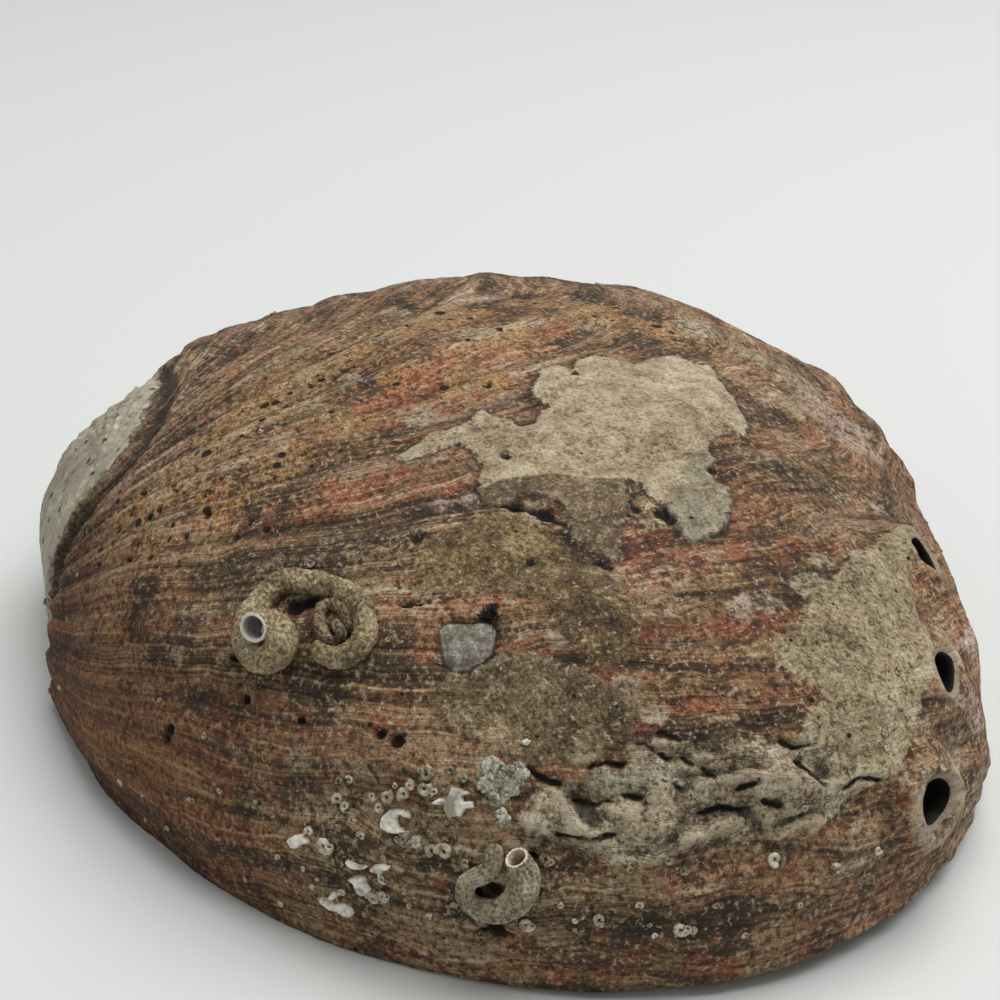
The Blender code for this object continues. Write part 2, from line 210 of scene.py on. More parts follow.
def smoothed(values, rounds):
    """Values evened out over neighbouring corners."""
    for _ in range(rounds):
        total = np.bincount(EDGE_A, values[EDGE_B], len(values))
        total += np.bincount(EDGE_B, values[EDGE_A], len(values))
        values = total / NEIGHBOURS
    return values


print(len(outside.vertices), "corners,", len(outside.polygons), "triangles outside")

# %% [markdown]
# The camera stands where the photographer stood. Its frame is also used to carry what was read off the
# photo, such as the edge of a crust, back on to the dome, and from there it belongs to the shell from every
# side.

# %% Camera
CAMERA_TURN, CAMERA_RAISED = 62.0, 26.35
CAMERA_DISTANCE = 300 * MM
CAMERA_AIM = np.array([-1.9, -2.4, 22.0]) * MM
FOCAL_PIXELS = 1936.7
PHOTO_SIZE, SENSOR_MM = 1000, 36
PHOTO_MIDDLE = PHOTO_SIZE / 2
a, e = math.radians(CAMERA_TURN), math.radians(CAMERA_RAISED)
BACK = np.array([math.sin(a) * math.cos(e), -math.cos(a) * math.cos(e), math.sin(e)])
RIGHT = np.array([math.cos(a), math.sin(a), 0.0])
CAMERA_UP = np.cross(BACK, RIGHT)
CAMERA_AT = CAMERA_AIM + BACK * CAMERA_DISTANCE

camera = bpy.data.objects.new("camera", bpy.data.cameras.new("camera"))
bpy.context.scene.collection.objects.link(camera)
camera.data.sensor_width = SENSOR_MM
camera.data.lens = SENSOR_MM * FOCAL_PIXELS / PHOTO_SIZE
camera.data.clip_start = 0.01
camera.matrix_world = Matrix(
    [[*row, place] for row, place in zip(np.stack([RIGHT, CAMERA_UP, BACK], 1), CAMERA_AT)] + [[0, 0, 0, 1]]
)
bpy.context.scene.camera = camera

# %% From a place in the photo to a place on the dome
outside.vertices.foreach_set("co", DOME_POINTS.ravel())
smooth_triangles = np.empty(len(outside.polygons) * 3, np.int64)
outside.polygons.foreach_get("vertices", smooth_triangles)
smooth_triangles = smooth_triangles.reshape(-1, 3)
dome_tree = BVHTree.FromPolygons(DOME_POINTS.tolist(), smooth_triangles.tolist())


def cast(x, y):
    """The dome's point under a photo pixel, and that point on the flat map."""
    ray = RIGHT * (x - PHOTO_MIDDLE) + CAMERA_UP * (PHOTO_MIDDLE - y) - BACK * FOCAL_PIXELS
    hit, _, face, _ = dome_tree.ray_cast(Vector(CAMERA_AT), Vector(ray))
    if hit is None:
        raise ValueError(f"pixel {x},{y} misses the shell")
    corners = smooth_triangles[face]
    flat = barycentric_transform(
        hit, *(Vector(DOME_POINTS[i]) for i in corners), *(Vector((*FLAT[i], 0)) for i in corners)
    )
    return np.array(hit), np.array(flat[:2])


def flat_line(pixels):
    return np.array([cast(x, y)[1] for x, y in pixels])


def distance_to_line(flat, line):
    nearest = np.full(len(flat), np.inf)
    for start, end in zip(line, line[1:]):
        run = end - start
        share = (((flat - start) @ run) / max(run @ run, 1e-12)).clip(0, 1)
        nearest = np.minimum(nearest, np.linalg.norm(flat - start - share[:, None] * run, axis=1))
    return nearest


def inside_patch(flat, line):
    """Signed distance into a closed outline on the flat map, positive inside, in metres."""
    ring = np.vstack([line, line[:1]])
    inside = np.zeros(len(flat), bool)
    for (x0, y0), (x1, y1) in zip(ring, ring[1:]):
        spans = (y0 > flat[:, 1]) != (y1 > flat[:, 1])
        inside ^= spans & (flat[:, 0] < (x1 - x0) * (flat[:, 1] - y0) / (y1 - y0 + 1e-15) + x0)
    return distance_to_line(flat, ring) * np.where(inside, 1, -1)


def patch(pixels):
    return inside_patch(FLAT, flat_line(pixels))


# Pixels that a millimetre of the shell takes up in the middle of the photo.
PHOTO_SCALE = 6.6


def spots(*marks):
    """A soft zone: each mark is a photo place and how far it reaches in pixels."""
    strength = np.zeros(len(FLAT))
    for x, y, reach in marks:
        away = np.linalg.norm(FLAT - cast(x, y)[1], axis=1)
        strength = np.maximum(strength, bell(away, reach / PHOTO_SCALE * MM))
    return strength


# %% [markdown]
# The crusts are thin sheets of lime laid down by moss animals and red weed, with crisp edges. Their
# outlines are read off the photo as corner points. A soft zone, such as a stain, is a handful of round
# spots instead.

# %% Crusts, worn spots, stains and painted shade seen from the front
big_crust = patch((
    (395, 457), (412, 447), (432, 432), (455, 426), (472, 415), (482, 405), (492, 412), (512, 415),
    (519, 425), (534, 420), (539, 407), (552, 405), (539, 400), (529, 391), (535, 382), (542, 370),
    (559, 367), (571, 372), (576, 362), (596, 356), (619, 361), (634, 367), (649, 359), (673, 354),
    (693, 362), (711, 366), (716, 382), (728, 400), (738, 417), (748, 432), (743, 441), (728, 437),
    (711, 444), (706, 453), (716, 464), (706, 473), (715, 483), (728, 489), (731, 504), (728, 519),
    (713, 530), (696, 539), (683, 531), (676, 514), (664, 504), (654, 494), (642, 482), (626, 479),
    (629, 499), (629, 514), (621, 529), (621, 549), (616, 560), (610, 560), (604, 551), (591, 546),
    (579, 539), (568, 529), (569, 514), (559, 502), (539, 495), (524, 494), (509, 503), (489, 507),
    (479, 499), (477, 489), (481, 477), (484, 467), (477, 456), (462, 449), (442, 452), (420, 462),
    (405, 466),
))
tongue = patch((
    (477, 489), (500, 480), (530, 474), (560, 472), (590, 476), (626, 479), (640, 490), (632, 499),
    (629, 514), (621, 529), (621, 549), (616, 562), (608, 562), (591, 547), (568, 530), (569, 514),
    (559, 502), (539, 495), (524, 494), (509, 503), (489, 508), (478, 500),
))
pale_lobe = patch((
    (688, 455), (706, 450), (718, 464), (708, 474), (717, 483), (730, 489), (733, 504), (730, 520),
    (713, 532), (696, 541), (681, 532), (674, 514), (662, 504), (668, 492), (684, 480),
))
olive_crust = patch((
    (418, 560), (430, 540), (455, 532), (480, 520), (500, 510), (520, 514), (545, 522), (570, 534),
    (588, 548), (606, 564), (625, 590), (632, 610), (640, 640), (634, 660), (618, 668), (600, 672),
    (575, 655), (560, 640), (552, 612), (540, 600), (520, 602), (500, 598), (480, 602), (455, 600),
    (430, 596), (416, 585),
))
lower_crust = patch((
    (438, 690), (450, 672), (470, 674), (490, 660), (510, 650), (530, 655), (550, 660), (575, 668),
    (600, 680), (625, 695), (640, 715), (628, 735), (612, 745), (600, 760), (575, 764), (550, 758),
    (528, 764), (505, 758), (488, 745), (465, 735), (445, 720), (436, 705),
))
right_crust = patch((
    (800, 610), (812, 590), (835, 575), (850, 560), (872, 548), (890, 530), (905, 524), (912, 545),
    (910, 580), (916, 610), (920, 650), (915, 700), (905, 740), (892, 770), (872, 785), (850, 800),
    (830, 822), (812, 830), (800, 815), (812, 790), (800, 770), (790, 745), (800, 725), (815, 700),
    (800, 680), (778, 668), (772, 648), (788, 632),
))
ledge_band = patch((
    (525, 800), (540, 785), (560, 790), (590, 782), (620, 775), (640, 760), (655, 745), (672, 740),
    (700, 745), (730, 742), (760, 745), (790, 742), (820, 745), (840, 760), (850, 785), (845, 810),
    (820, 825), (790, 830), (760, 835), (735, 845), (700, 845), (670, 852), (640, 860), (610, 862),
    (580, 856), (555, 848), (535, 835), (522, 818),
))
worn_spot = patch((
    (440, 632), (446, 626), (458, 624), (472, 625), (484, 622), (496, 628), (498, 640), (494, 654),
    (484, 664), (470, 671), (454, 673), (444, 664), (441, 648),
))
bead_cluster = spots(
    (493, 770, 14), (508, 782, 16), (498, 794, 12), (520, 772, 10), (486, 784, 8), (600, 782, 16),
    (640, 776, 18), (670, 778, 14), (570, 790, 10), (700, 790, 10),
)
red_stain = spots(
    (286, 884, 18), (334, 906, 20), (390, 930, 20), (440, 955, 20), (520, 972, 20), (610, 974, 20),
    (700, 964, 22), (770, 945, 20), (134, 784, 14), (178, 826, 14), (230, 860, 14), (850, 900, 18),
    (897, 800, 14), (893, 836, 14), (903, 862, 14), (955, 830, 14), (300, 511, 13), (320, 505, 14),
    (340, 498, 15), (360, 490, 15), (380, 483, 14), (398, 475, 12), (420, 492, 12), (450, 486, 12),
    (635, 637, 11), (655, 635, 11), (678, 633, 10), (702, 632, 10), (728, 630, 11), (752, 627, 11),
    (776, 622, 10), (800, 615, 9), (500, 605, 9), (520, 600, 9), (545, 595, 9), (570, 590, 8),
    (496, 652, 11), (520, 652, 11), (545, 655, 9), (585, 680, 9), (605, 676, 9), (590, 728, 9),
    (615, 730, 10), (640, 732, 10), (660, 728, 8), (670, 708, 11), (695, 705, 12), (720, 703, 12),
    (640, 560, 16), (690, 555, 16), (740, 548, 16), (790, 540, 14), (440, 640, 12), (425, 655, 10),
    (385, 725, 12), (350, 735, 10), (225, 720, 12), (190, 760, 14), (90, 740, 22), (120, 790, 20),
    (340, 935, 16), (400, 955, 18), (450, 960, 18), (560, 975, 16), (640, 950, 18), (730, 965, 16),
    (800, 945, 22), (850, 935, 22), (890, 905, 16), (900, 850, 14), (892, 800, 12),
)
orange_stain = spots(
    (425, 375, 22), (450, 368, 22), (480, 362, 24), (505, 352, 22), (545, 345, 14), (470, 392, 16),
    (400, 392, 20), (370, 400, 16), (455, 355, 22), (330, 485, 14), (270, 520, 12), (220, 495, 16),
    (190, 470, 16), (250, 470, 14), (721, 664, 7), (300, 335, 16), (230, 370, 14), (560, 330, 14),
)
pink_stain = spots(
    (820, 400, 26), (845, 425, 26), (800, 385, 20), (870, 455, 18), (884, 505, 14), (945, 700, 14),
    (962, 650, 18), (968, 720, 18), (958, 600, 16), (820, 410, 34), (845, 440, 26), (790, 400, 26),
    (960, 610, 22), (965, 700, 26), (950, 750, 22), (560, 640, 10), (520, 575, 12), (560, 572, 12),
    (610, 590, 10), (440, 505, 12), (470, 498, 12), (745, 600, 10), (860, 560, 14),
)
# Dark grime, with painted shade below the upper tube and over the low front.
grime_and_shade_stain = spots(
    (640, 925, 34), (690, 930, 24), (600, 905, 24), (350, 800, 24), (440, 800, 22), (300, 590, 22),
    (280, 568, 38), (330, 556, 38), (380, 548, 38), (235, 575, 28), (340, 850, 46), (410, 850, 44),
    (380, 905, 44), (300, 800, 34), (470, 905, 40), (540, 900, 40), (450, 830, 30), (480, 870, 34),
    (560, 680, 14), (520, 560, 18), (230, 600, 20), (260, 590, 26), (300, 560, 22), (350, 565, 22),
    (390, 560, 22), (415, 540, 18), (420, 515, 18), (460, 515, 20), (500, 515, 16), (540, 512, 18),
    (240, 560, 20), (200, 580, 18), (150, 590, 16), (190, 620, 20), (130, 610, 16), (300, 690, 22),
    (650, 518, 14), (400, 640, 16), (380, 665, 18), (330, 700, 26), (250, 680, 22), (175, 735, 10),
    (640, 470, 12), (500, 560, 10), (790, 475, 22), (840, 490, 18), (760, 470, 16), (720, 380, 14),
    (590, 300, 24), (640, 315, 22), (345, 300, 20), (300, 320, 16), (380, 345, 14), (560, 930, 40),
    (470, 935, 30), (450, 940, 34), (330, 880, 26), (560, 880, 20), (620, 890, 20), (420, 860, 18),
    (850, 850, 18), (780, 850, 16), (540, 840, 16), (250, 800, 24), (200, 700, 18), (110, 650, 16),
    (700, 740, 10), (850, 610, 10), (720, 690, 8), (560, 470, 10), (210, 365, 14), (260, 370, 14),
)
pale_stain = spots(
    (880, 600, 34), (900, 660, 34), (840, 680, 30), (860, 740, 30), (770, 600, 16), (810, 585, 22),
    (910, 720, 26), (596, 612, 14), (610, 640, 12), (625, 690, 12), (655, 715, 12), (590, 575, 12),
    (640, 750, 14), (800, 380, 34), (700, 330, 34), (760, 360, 30), (350, 380, 18), (310, 400, 14),
    (420, 415, 16), (480, 335, 18), (280, 440, 12), (250, 455, 10), (400, 310, 18), (200, 365, 14),
    (500, 540, 10), (740, 610, 12), (820, 560, 12), (330, 600, 8), (430, 600, 10), (180, 655, 12),
    (300, 760, 14), (240, 755, 12), (360, 775, 14), (150, 690, 8),
)
pitted = spots(
    (130, 520, 36), (180, 480, 40), (220, 440, 40), (260, 410, 40), (300, 380, 40), (350, 350, 40),
    (400, 330, 40), (450, 320, 40), (500, 340, 36), (220, 500, 36), (280, 460, 36), (340, 420, 36),
    (400, 380, 34), (150, 545, 28), (540, 300, 36), (600, 310, 36), (470, 380, 36), (110, 560, 18),
    (660, 330, 30),
)
# Spots painted dark as shade, and dented: under the worm tubes' arcs and the front tube, at the weed, in
# holes, pits and crust hollows.
hollow_shade_spots = spots(
    (295, 606, 13), (310, 600, 10), (337, 634, 10), (333, 602, 7), (515, 505, 9), (545, 511, 10),
    (664, 510, 8), (672, 515, 7), (505, 457, 5), (636, 505, 6), (600, 560, 6), (608, 568, 6), (530, 561, 6),
    (488, 618, 8), (494, 610, 6), (533, 857, 6), (495, 930, 12), (175, 728, 7), (173, 738, 5),
    (345, 370, 5), (335, 376, 5), (406, 329, 5), (458, 446, 5), (488, 383, 5), (286, 403, 5), (400, 742, 8),
    (384, 735, 6), (418, 540, 6), (300, 720, 6), (495, 888, 9), (478, 892, 6), (712, 472, 5), (245, 700, 6),
    (150, 517, 5), (575, 375, 5), (320, 378, 5), (354, 366, 4), (311, 384, 4), (223, 432, 5), (260, 424, 4),
    (275, 414, 4), (186, 536, 4), (152, 559, 4), (130, 561, 4), (102, 549, 4), (120, 530, 4), (140, 545, 4),
    (161, 511, 4), (144, 493, 4), (133, 515, 4), (98, 565, 4), (248, 519, 4), (263, 524, 4), (209, 516, 4),
    (234, 534, 4), (287, 486, 4), (304, 454, 4), (346, 369, 4), (376, 364, 4), (222, 480, 3), (196, 470, 3),
    (240, 470, 3), (178, 492, 3), (205, 494, 3), (170, 540, 3), (260, 496, 3), (300, 430, 3), (330, 410, 3),
    (360, 396, 3),
)
# Crevices between the ledges, dented and painted dark as shade.
CREVICES = (
    ((640, 742), (655, 752), (670, 759)), ((684, 757), (702, 768), (712, 777)), ((735, 788), (752, 783)),
    ((776, 742), (790, 749), (804, 746)), ((795, 762), (806, 774), (818, 784)),
    ((575, 800), (592, 805), (610, 801)), ((660, 733), (680, 740)), ((530, 770), (546, 781), (560, 784)),
    ((698, 814), (722, 807), (744, 811)), ((556, 834), (588, 839), (612, 834)),
    ((505, 504), (528, 508), (552, 515), (566, 520)), ((846, 788), (860, 777), (876, 780)),
    ((480, 930), (510, 934)), ((626, 795), (644, 800)), ((664, 782), (680, 788)), ((404, 608), (430, 605)),
    ((232, 658), (252, 664)), ((760, 800), (778, 806)), ((590, 768), (606, 762), (622, 766)),
)
CREVICE_WIDE = 0.62 * MM
crevices = np.zeros(len(FLAT))
for pixels in CREVICES:
    crevices = np.maximum(crevices, bell(distance_to_line(FLAT, flat_line(pixels)), CREVICE_WIDE))
print("the big crust covers", round(float((big_crust > 0).mean()) * 100, 1), "% of the outside")

# %% [markdown]
# The real surface stands off the smooth dome: old lips make ledges, filled breathing holes make knobs, and
# the spire bulges at the back. Each form is a height in metres that is added to one array, so that it can
# be printed and judged on its own, and the corners move once at the end.

# %% Relief of the outside
SPIRE_FLANK = (
    (251, 6), (249, 16), (247.5, 23), (245.5, 30), (243.5, 35.5), (239.5, 40), (232, 43), (221, 43),
    (211, 37), (206, 24), (208, 10), (222, 0), (240, 0),
)
# Each open hole is its place and how far its rim stands up, and each hollow its place, radius and depth.
OPEN_HOLES = (
    ((5.6, 12.0), 2.4 * MM), ((15.2, 24.8), 1.3 * MM), ((34.4, 33.2), 1.3 * MM), ((73.0, 31.0), 1.2 * MM),
)
HOLE_LONG, HOLE_ACROSS = 7.0 * MM, 5.4 * MM
CLOSED_HOLES = (
    (86, 31.5), (102, 30.5), (117, 29), (132, 28), (146, 27.5), (159, 27.5),
    (171, 28.5), (182, 30), (192, 32), (201, 35), (209, 38), (216, 41),
)
SPIRE_AT = (232.0, 22.0)
SUTURE = (
    (253, 0), (251.5, 13), (249.5, 22), (248, 30), (246, 37), (242, 41.5), (234, 45), (222, 45), (212, 38),
    (211, 27), (220, 20), (231, 21), (237, 27), (233, 32), (226, 30),
)
SUTURE_OUTER_TURN = 9
SPIRE_BULGE, SPIRE_WIDE = 3.3 * MM, 17 * MM
HOLLOWS = (
    ((336, 60), 4.5 * MM, 1.8 * MM), ((274, 26), 3.5 * MM, 1.6 * MM), ((337, 31), 4.0 * MM, 1.6 * MM),
    ((351, 31), 4.0 * MM, 1.4 * MM), ((29.6, 24), 6.0 * MM, -1.8 * MM), ((19.6, 10), 6.0 * MM, -1.6 * MM),
)
LEDGES_PER_TURN, LEDGE_HEIGHT, LEDGE_CREST = 34.0, 1.0 * MM, 0.75
RIM_RADIUS, RIM_WIDE = 4.6 * MM, 2.3 * MM
KNOB_HEIGHT, KNOB_WIDE, KNOB_SHRINK = 1.3 * MM, 6.5 * MM, 0.045
LUMPS_HEIGHT, LUMPS_AT, LUMPS_SPREAD = 3.2 * MM, (341.0, 25.0), (24.0, 9.0)
SUTURE_DEPTH, INNER_TURN_DEPTH = 1.0 * MM, 0.5 * MM
LIP_STEP, LIP_STEP_UP, LIP_STEP_FROM, LIP_STEP_TO = 1.6 * MM, 14.0, 253, 350


def noise_at(points, size):
    """Smooth random values about -1 to 1, with bumps of roughly this size."""
    return np.array([noise.noise(point) for point in (points / size).tolist()])


def away_from(place):
    return np.linalg.norm(DOME_POINTS - dome(*place), axis=1)


def ramp(value, start, end):
    """0 before start and 1 after end, with eased ends."""
    share = ((value - start) / (end - start)).clip(0, 1)
    return share * share * (3 - 2 * share)


suture_points = dome(*np.array(SUTURE, float).T)
from_suture = distance_to_line(DOME_POINTS, suture_points[:SUTURE_OUTER_TURN])
from_inner_turn = distance_to_line(DOME_POINTS, suture_points[SUTURE_OUTER_TURN - 1:])
from_spire = away_from(SPIRE_AT)
swell = 1.3 * MM * noise_at(DOME_POINTS, 24 * MM)
phase = (AGE * LEDGES_PER_TURN + 0.35 * noise_at(DOME_POINTS, 30 * MM)) % 1.0
fall = LEDGE_CREST / (1 - LEDGE_CREST)
ledges = LEDGE_HEIGHT * (np.where(phase < LEDGE_CREST, phase, (1 - phase) * fall) - 0.4) * bell(AGE, 0.62)
holes = np.zeros(len(AGE))
for place, rim in OPEN_HOLES:
    holes += rim * bell(away_from(place) - RIM_RADIUS, RIM_WIDE)
for index, place in enumerate(CLOSED_HOLES):
    size = 1 - KNOB_SHRINK * index
    holes += KNOB_HEIGHT * size * bell(away_from(place), KNOB_WIDE * size)
spread = np.hypot(turn_between(ANGLE, LUMPS_AT[0]) / LUMPS_SPREAD[0], (UP - LUMPS_AT[1]) / LUMPS_SPREAD[1])
lumps = LUMPS_HEIGHT * bell(spread, 1.0) * (0.45 + noise_at(DOME_POINTS, 8 * MM))
spire = SPIRE_BULGE * bell(from_spire, SPIRE_WIDE) - SUTURE_DEPTH * bell(from_suture, 2.2 * MM)
spire -= INNER_TURN_DEPTH * bell(from_inner_turn, 2.0 * MM)
lip_step = LIP_STEP * bell(UP, LIP_STEP_UP) * ((LIP_STEP_TO - ANGLE) / 60).clip(0, 1)
lip_step = np.where((ANGLE > LIP_STEP_FROM) & (ANGLE < LIP_STEP_TO), lip_step, 0)
hollows = sum(-depth * bell(away_from(place), radius) for place, radius, depth in HOLLOWS)
main_relief = swell + ledges + holes + lumps + spire + lip_step + hollows
print("main relief from", round(main_relief.min() * 1000, 1), "to", round(main_relief.max() * 1000, 1), "mm")

# %% [markdown]
# Growth lines are ridges about a millimetre apart. They follow equal age, so the noise that makes them is
# stretched along the lip: one axis counts millimetres of growth, the other runs round the apex.

# %% Fine relief: growth ridges, crust sheets and crumbs
GROWTH_SPAN = 520 * MM
TERRACE, TERRACE_CREST, TERRACE_HEIGHT = 5.2 * MM, 0.82, 2.1
# Crust sheets after the big one: how thick, how far crumbs fray the edge and how soft it is, in mm.
SHEETS = ((olive_crust, 0.30, 0.8, 0.6), (lower_crust, 0.30, 0.8, 0.6), (right_crust, 0.40, 1.0, 0.8))
ACROSS = AGE * GROWTH_SPAN
ALONG = np.radians(turn_between(TURN, 60.0)) * (FROM_APEX + 20 * MM)
wander = 2.4 * MM * noise_at(DOME_POINTS, 16 * MM) + 0.7 * MM * noise_at(DOME_POINTS, 4.5 * MM)
lines = np.stack([ALONG, ACROSS + wander, np.zeros_like(ACROSS)], 1)
broad_ridges = noise_at(lines / (26, 4.2, 1), 1 * MM)
fine_ridges = noise_at(lines / (12, 1.6, 1), 1 * MM)
crumbs = noise_at(DOME_POINTS, 2.6 * MM)
grains = noise_at(DOME_POINTS, 1.5 * MM)
band = ramp(ledge_band + 1.2 * MM * crumbs, -2 * MM, 2 * MM)
sheets = 0.42 * MM * ramp(big_crust + 0.3 * MM * grains, -0.35 * MM, 0.35 * MM)
for crust, thick, fray, soft in SHEETS:
    sheets += thick * MM * ramp(crust + fray * MM * crumbs, -soft * MM, soft * MM)
bare = 1 - ramp(np.maximum.reduce([big_crust, olive_crust, lower_crust]), -1 * MM, 1 * MM) * 0.75
spire_patch = inside_patch(FLAT, pressed_flat(*np.array(SPIRE_FLANK, float).T))
smooth_spire = 1 - 0.8 * ramp(spire_patch, -1 * MM, 2 * MM)
fine_relief = smooth_spire * bare * (0.15 * MM * broad_ridges + 0.17 * MM * fine_ridges)
fine_relief += smooth_spire * 0.14 * MM * grains + sheets
broken = 0.35 * noise_at(DOME_POINTS, 3 * MM) + 0.25 * grains
fine_relief -= MM * (0.9 * ramp(hollow_shade_spots, 0.3, 0.8) + 0.8 * ramp(crevices + broken, 0.45, 1.0))
torn = 0.9 * noise_at(DOME_POINTS, 9 * MM) + 0.35 * noise_at(DOME_POINTS, 4 * MM)
terrace = (lines[:, 1] / TERRACE + torn) % 1.0
steps = np.where(terrace < TERRACE_CREST, terrace / TERRACE_CREST, (1 - terrace) / (1 - TERRACE_CREST))
uneven = 0.6 + 0.6 * noise_at(DOME_POINTS, 7 * MM)
fine_relief += band * MM * (TERRACE_HEIGHT * steps ** 1.5 * uneven + 0.7 * crumbs - 0.4)
fine_relief -= 0.5 * MM * bell(worn_spot.clip(0, None), 0.8 * MM) * (worn_spot > -0.4 * MM)
fine_relief += 0.6 * MM * bead_cluster * (0.5 + np.abs(grains))
relief = main_relief + fine_relief

# Near the table the corners move outwards only, so that the lip stays on it. The lip itself is scalloped.
SCALLOPS, SCALLOPS_UP, LEVEL_BELOW = 0.55 * MM, 5.0, 6
CREST_ROUNDS = 6
scallops = bell(UP, SCALLOPS_UP) * SCALLOPS * noise_at(lines / (7, 9, 1), 1 * MM)
direction = OUTWARD.copy()
direction[:, 2] *= (UP / LEVEL_BELOW).clip(0, 1)
points = DOME_POINTS + direction * (relief + scallops)[:, None]
crest = relief - smoothed(relief, CREST_ROUNDS)
print("fine relief from", round(fine_relief.min() * 1000, 2), "to", round(fine_relief.max() * 1000, 2), "mm")

# %% Values that the finish reads at each corner
def hole_axes(place):
    """The way out of a breathing hole, then along and across its oval."""
    angle, up = place
    way_out = outward(np.array([angle]), np.array([up]))[0]
    along = dome(angle + 3, up + 1) - dome(angle - 3, up - 1)
    across = np.cross(way_out, along)
    across /= np.linalg.norm(across)
    return way_out, np.cross(across, way_out), across


def from_hole_edge(place):
    """Distance outwards from the edge of a breathing hole's oval, about right near it."""
    _, along, across = hole_axes(place)
    away = DOME_POINTS - dome(*place)
    oval = np.hypot(away @ along / HOLE_LONG, away @ across / HOLE_ACROSS) * 2
    return (oval - 1) * (HOLE_LONG + HOLE_ACROSS) / 4


CREST_UNIT = 0.25 * MM
FINISH_VALUES = {
    "along": ALONG, "across": ACROSS + wander,
    "big_crust": big_crust, "tongue": tongue, "pale_lobe": pale_lobe, "olive_crust": olive_crust,
    "lower_crust": lower_crust, "right_crust": right_crust, "ledge_band": ledge_band, "worn_spot": worn_spot,
    "beads": bead_cluster, "red": red_stain, "orange": orange_stain, "pink": pink_stain, "dark": grime_and_shade_stain,
    "pale": pale_stain, "pitted": pitted,
    "crest": (crest / CREST_UNIT).clip(-2, 2), "suture": from_suture, "spire": spire_patch,
    # Painted shade of hollows, pits and crevices.
    "black": np.maximum(hollow_shade_spots, crevices + broken - 0.22),
    "hole": np.minimum.reduce([from_hole_edge(place) for place, _ in OPEN_HOLES]),
    "from_rim": (PROFILE_SHARE[0] - np.interp(UP, PROFILE_UP, PROFILE_SHARE)) * outline(ANGLE),
}


def set_values(mesh, values):
    for name, numbers in values.items():
        attribute = mesh.attributes.get(name) or mesh.attributes.new(name, "FLOAT", "POINT")
        attribute.data.foreach_set("value", numbers.astype(np.float32))


outside.vertices.foreach_set("co", points.ravel())

# %% [markdown]
# Shell grows from its inner face, which is smooth mother of pearl, while the rim keeps a narrow edge of the
# red outer layer. The rim's corners are pushed inwards in small steps to round it, and the last of them is
# bridged to the hollow's own edge. The hollow is a second half ball with the same driving sizes.

# %% The hollow and the rounded rim
# Each rim step is a share of the wall's thickness and a height over the table in mm.
WALL_TOP, WALL_LIP, WALL_BACK = 4.0 * MM, 2.6 * MM, 4.2 * MM
WALL_SPREAD, HOLLOW_EDGE = 95.0, 1.1 * MM
SHELF_WIDTH, SHELF_HEIGHT, SHELF_MIDDLE, SHELF_SPREAD = 10 * MM, 5 * MM, 150.0, 62.0
# The muscle scar is an oval on the flat map: its half length and half width, and its middle, in mm.
SCAR_HALF, SCAR_MIDDLE, SCAR_CORNERS = (18, 13), (14, -4), 40
SCAR_HEIGHT, PEARL_SWELL = 0.5 * MM, 0.5 * MM
RIM_STEPS = ((0.10, 0.0), (0.32, -0.10), (0.58, 0.05), (0.82, 0.45))
INNER_LEVEL = 6
# Numbers of the finishes on the faces. The outside has number 0.
HOLLOW, HOLE_WALL, HOLE_DEPTH = 1, 2, 3


def wall_at(angle):
    return WALL_LIP + (WALL_BACK - WALL_LIP) * bell(turn_between(angle, SHELF_MIDDLE), WALL_SPREAD)


def hollow_points(angle, up):
    point = dome(angle, up, inset=wall_at(angle), lower=WALL_TOP)
    shelf = SHELF_WIDTH * bell(turn_between(angle, SHELF_MIDDLE), SHELF_SPREAD)
    shelf = shelf * bell(point[:, 2], SHELF_HEIGHT)
    t = np.radians(angle)
    point -= np.stack([np.cos(t), np.sin(t), np.zeros_like(t)], 1) * shelf[:, None]
    point[:, 2] += HOLLOW_EDGE * bell(up, 3.0)
    return point


inner_ball = half_ball(INNER_LEVEL)
hollow = bpy.data.meshes.new("hollow")
inner_ball.to_mesh(hollow)
inner_ball.free()
inner_angle, inner_up = places_on_ball(positions(hollow))
inner_points = hollow_points(inner_angle, inner_up)
scar_turn = np.linspace(0, 2 * math.pi, SCAR_CORNERS)[:-1]
scar_oval = np.stack([np.cos(scar_turn), np.sin(scar_turn)], 1) * SCAR_HALF + SCAR_MIDDLE
scar = inside_patch(pressed_flat(inner_angle, inner_up), scar_oval * MM)
pearl_swell = PEARL_SWELL * noise_at(inner_points, 14 * MM) + SCAR_HEIGHT * ramp(scar, -1 * MM, 1 * MM)
inner_points -= outward(inner_angle, inner_up) * pearl_swell[:, None]
hollow.vertices.foreach_set("co", inner_points.ravel())
set_values(outside, FINISH_VALUES)
set_values(hollow, {
    "from_rim": inner_up * 1.5 * MM,
    "scar": scar,
    "across": growth(pressed_flat(inner_angle, inner_up))[0] * GROWTH_SPAN,
})

body = bmesh.new()
body.from_mesh(outside)
rim_loop = [edge for edge in body.edges if edge.is_boundary]
for share, rise in RIM_STEPS:
    made = bmesh.ops.extrude_edge_only(body, edges=rim_loop)["geom"]
    ring = [item for item in made if isinstance(item, bmesh.types.BMVert)]
    ring_co = np.array([vertex.co for vertex in ring])
    ring_angle = np.degrees(np.arctan2(ring_co[:, 1] - MIDDLE_Y, ring_co[:, 0] - MIDDLE_X))
    inner_edge = hollow_points(ring_angle % 360, np.zeros(len(ring)))
    step_share = share if share == RIM_STEPS[0][0] else (share - last_share) / (1 - last_share)
    place = ring_co + (inner_edge - ring_co) * step_share
    place[:, 2] = front_lift(ring_angle) + np.maximum(rise * MM, 0)
    for vertex, co in zip(ring, place):
        vertex.co = co
    last_share = share
    rim_loop = [item for item in made if isinstance(item, bmesh.types.BMEdge) and item.is_boundary]
outer_faces = len(body.faces)
body.from_mesh(hollow)
body.faces.ensure_lookup_table()
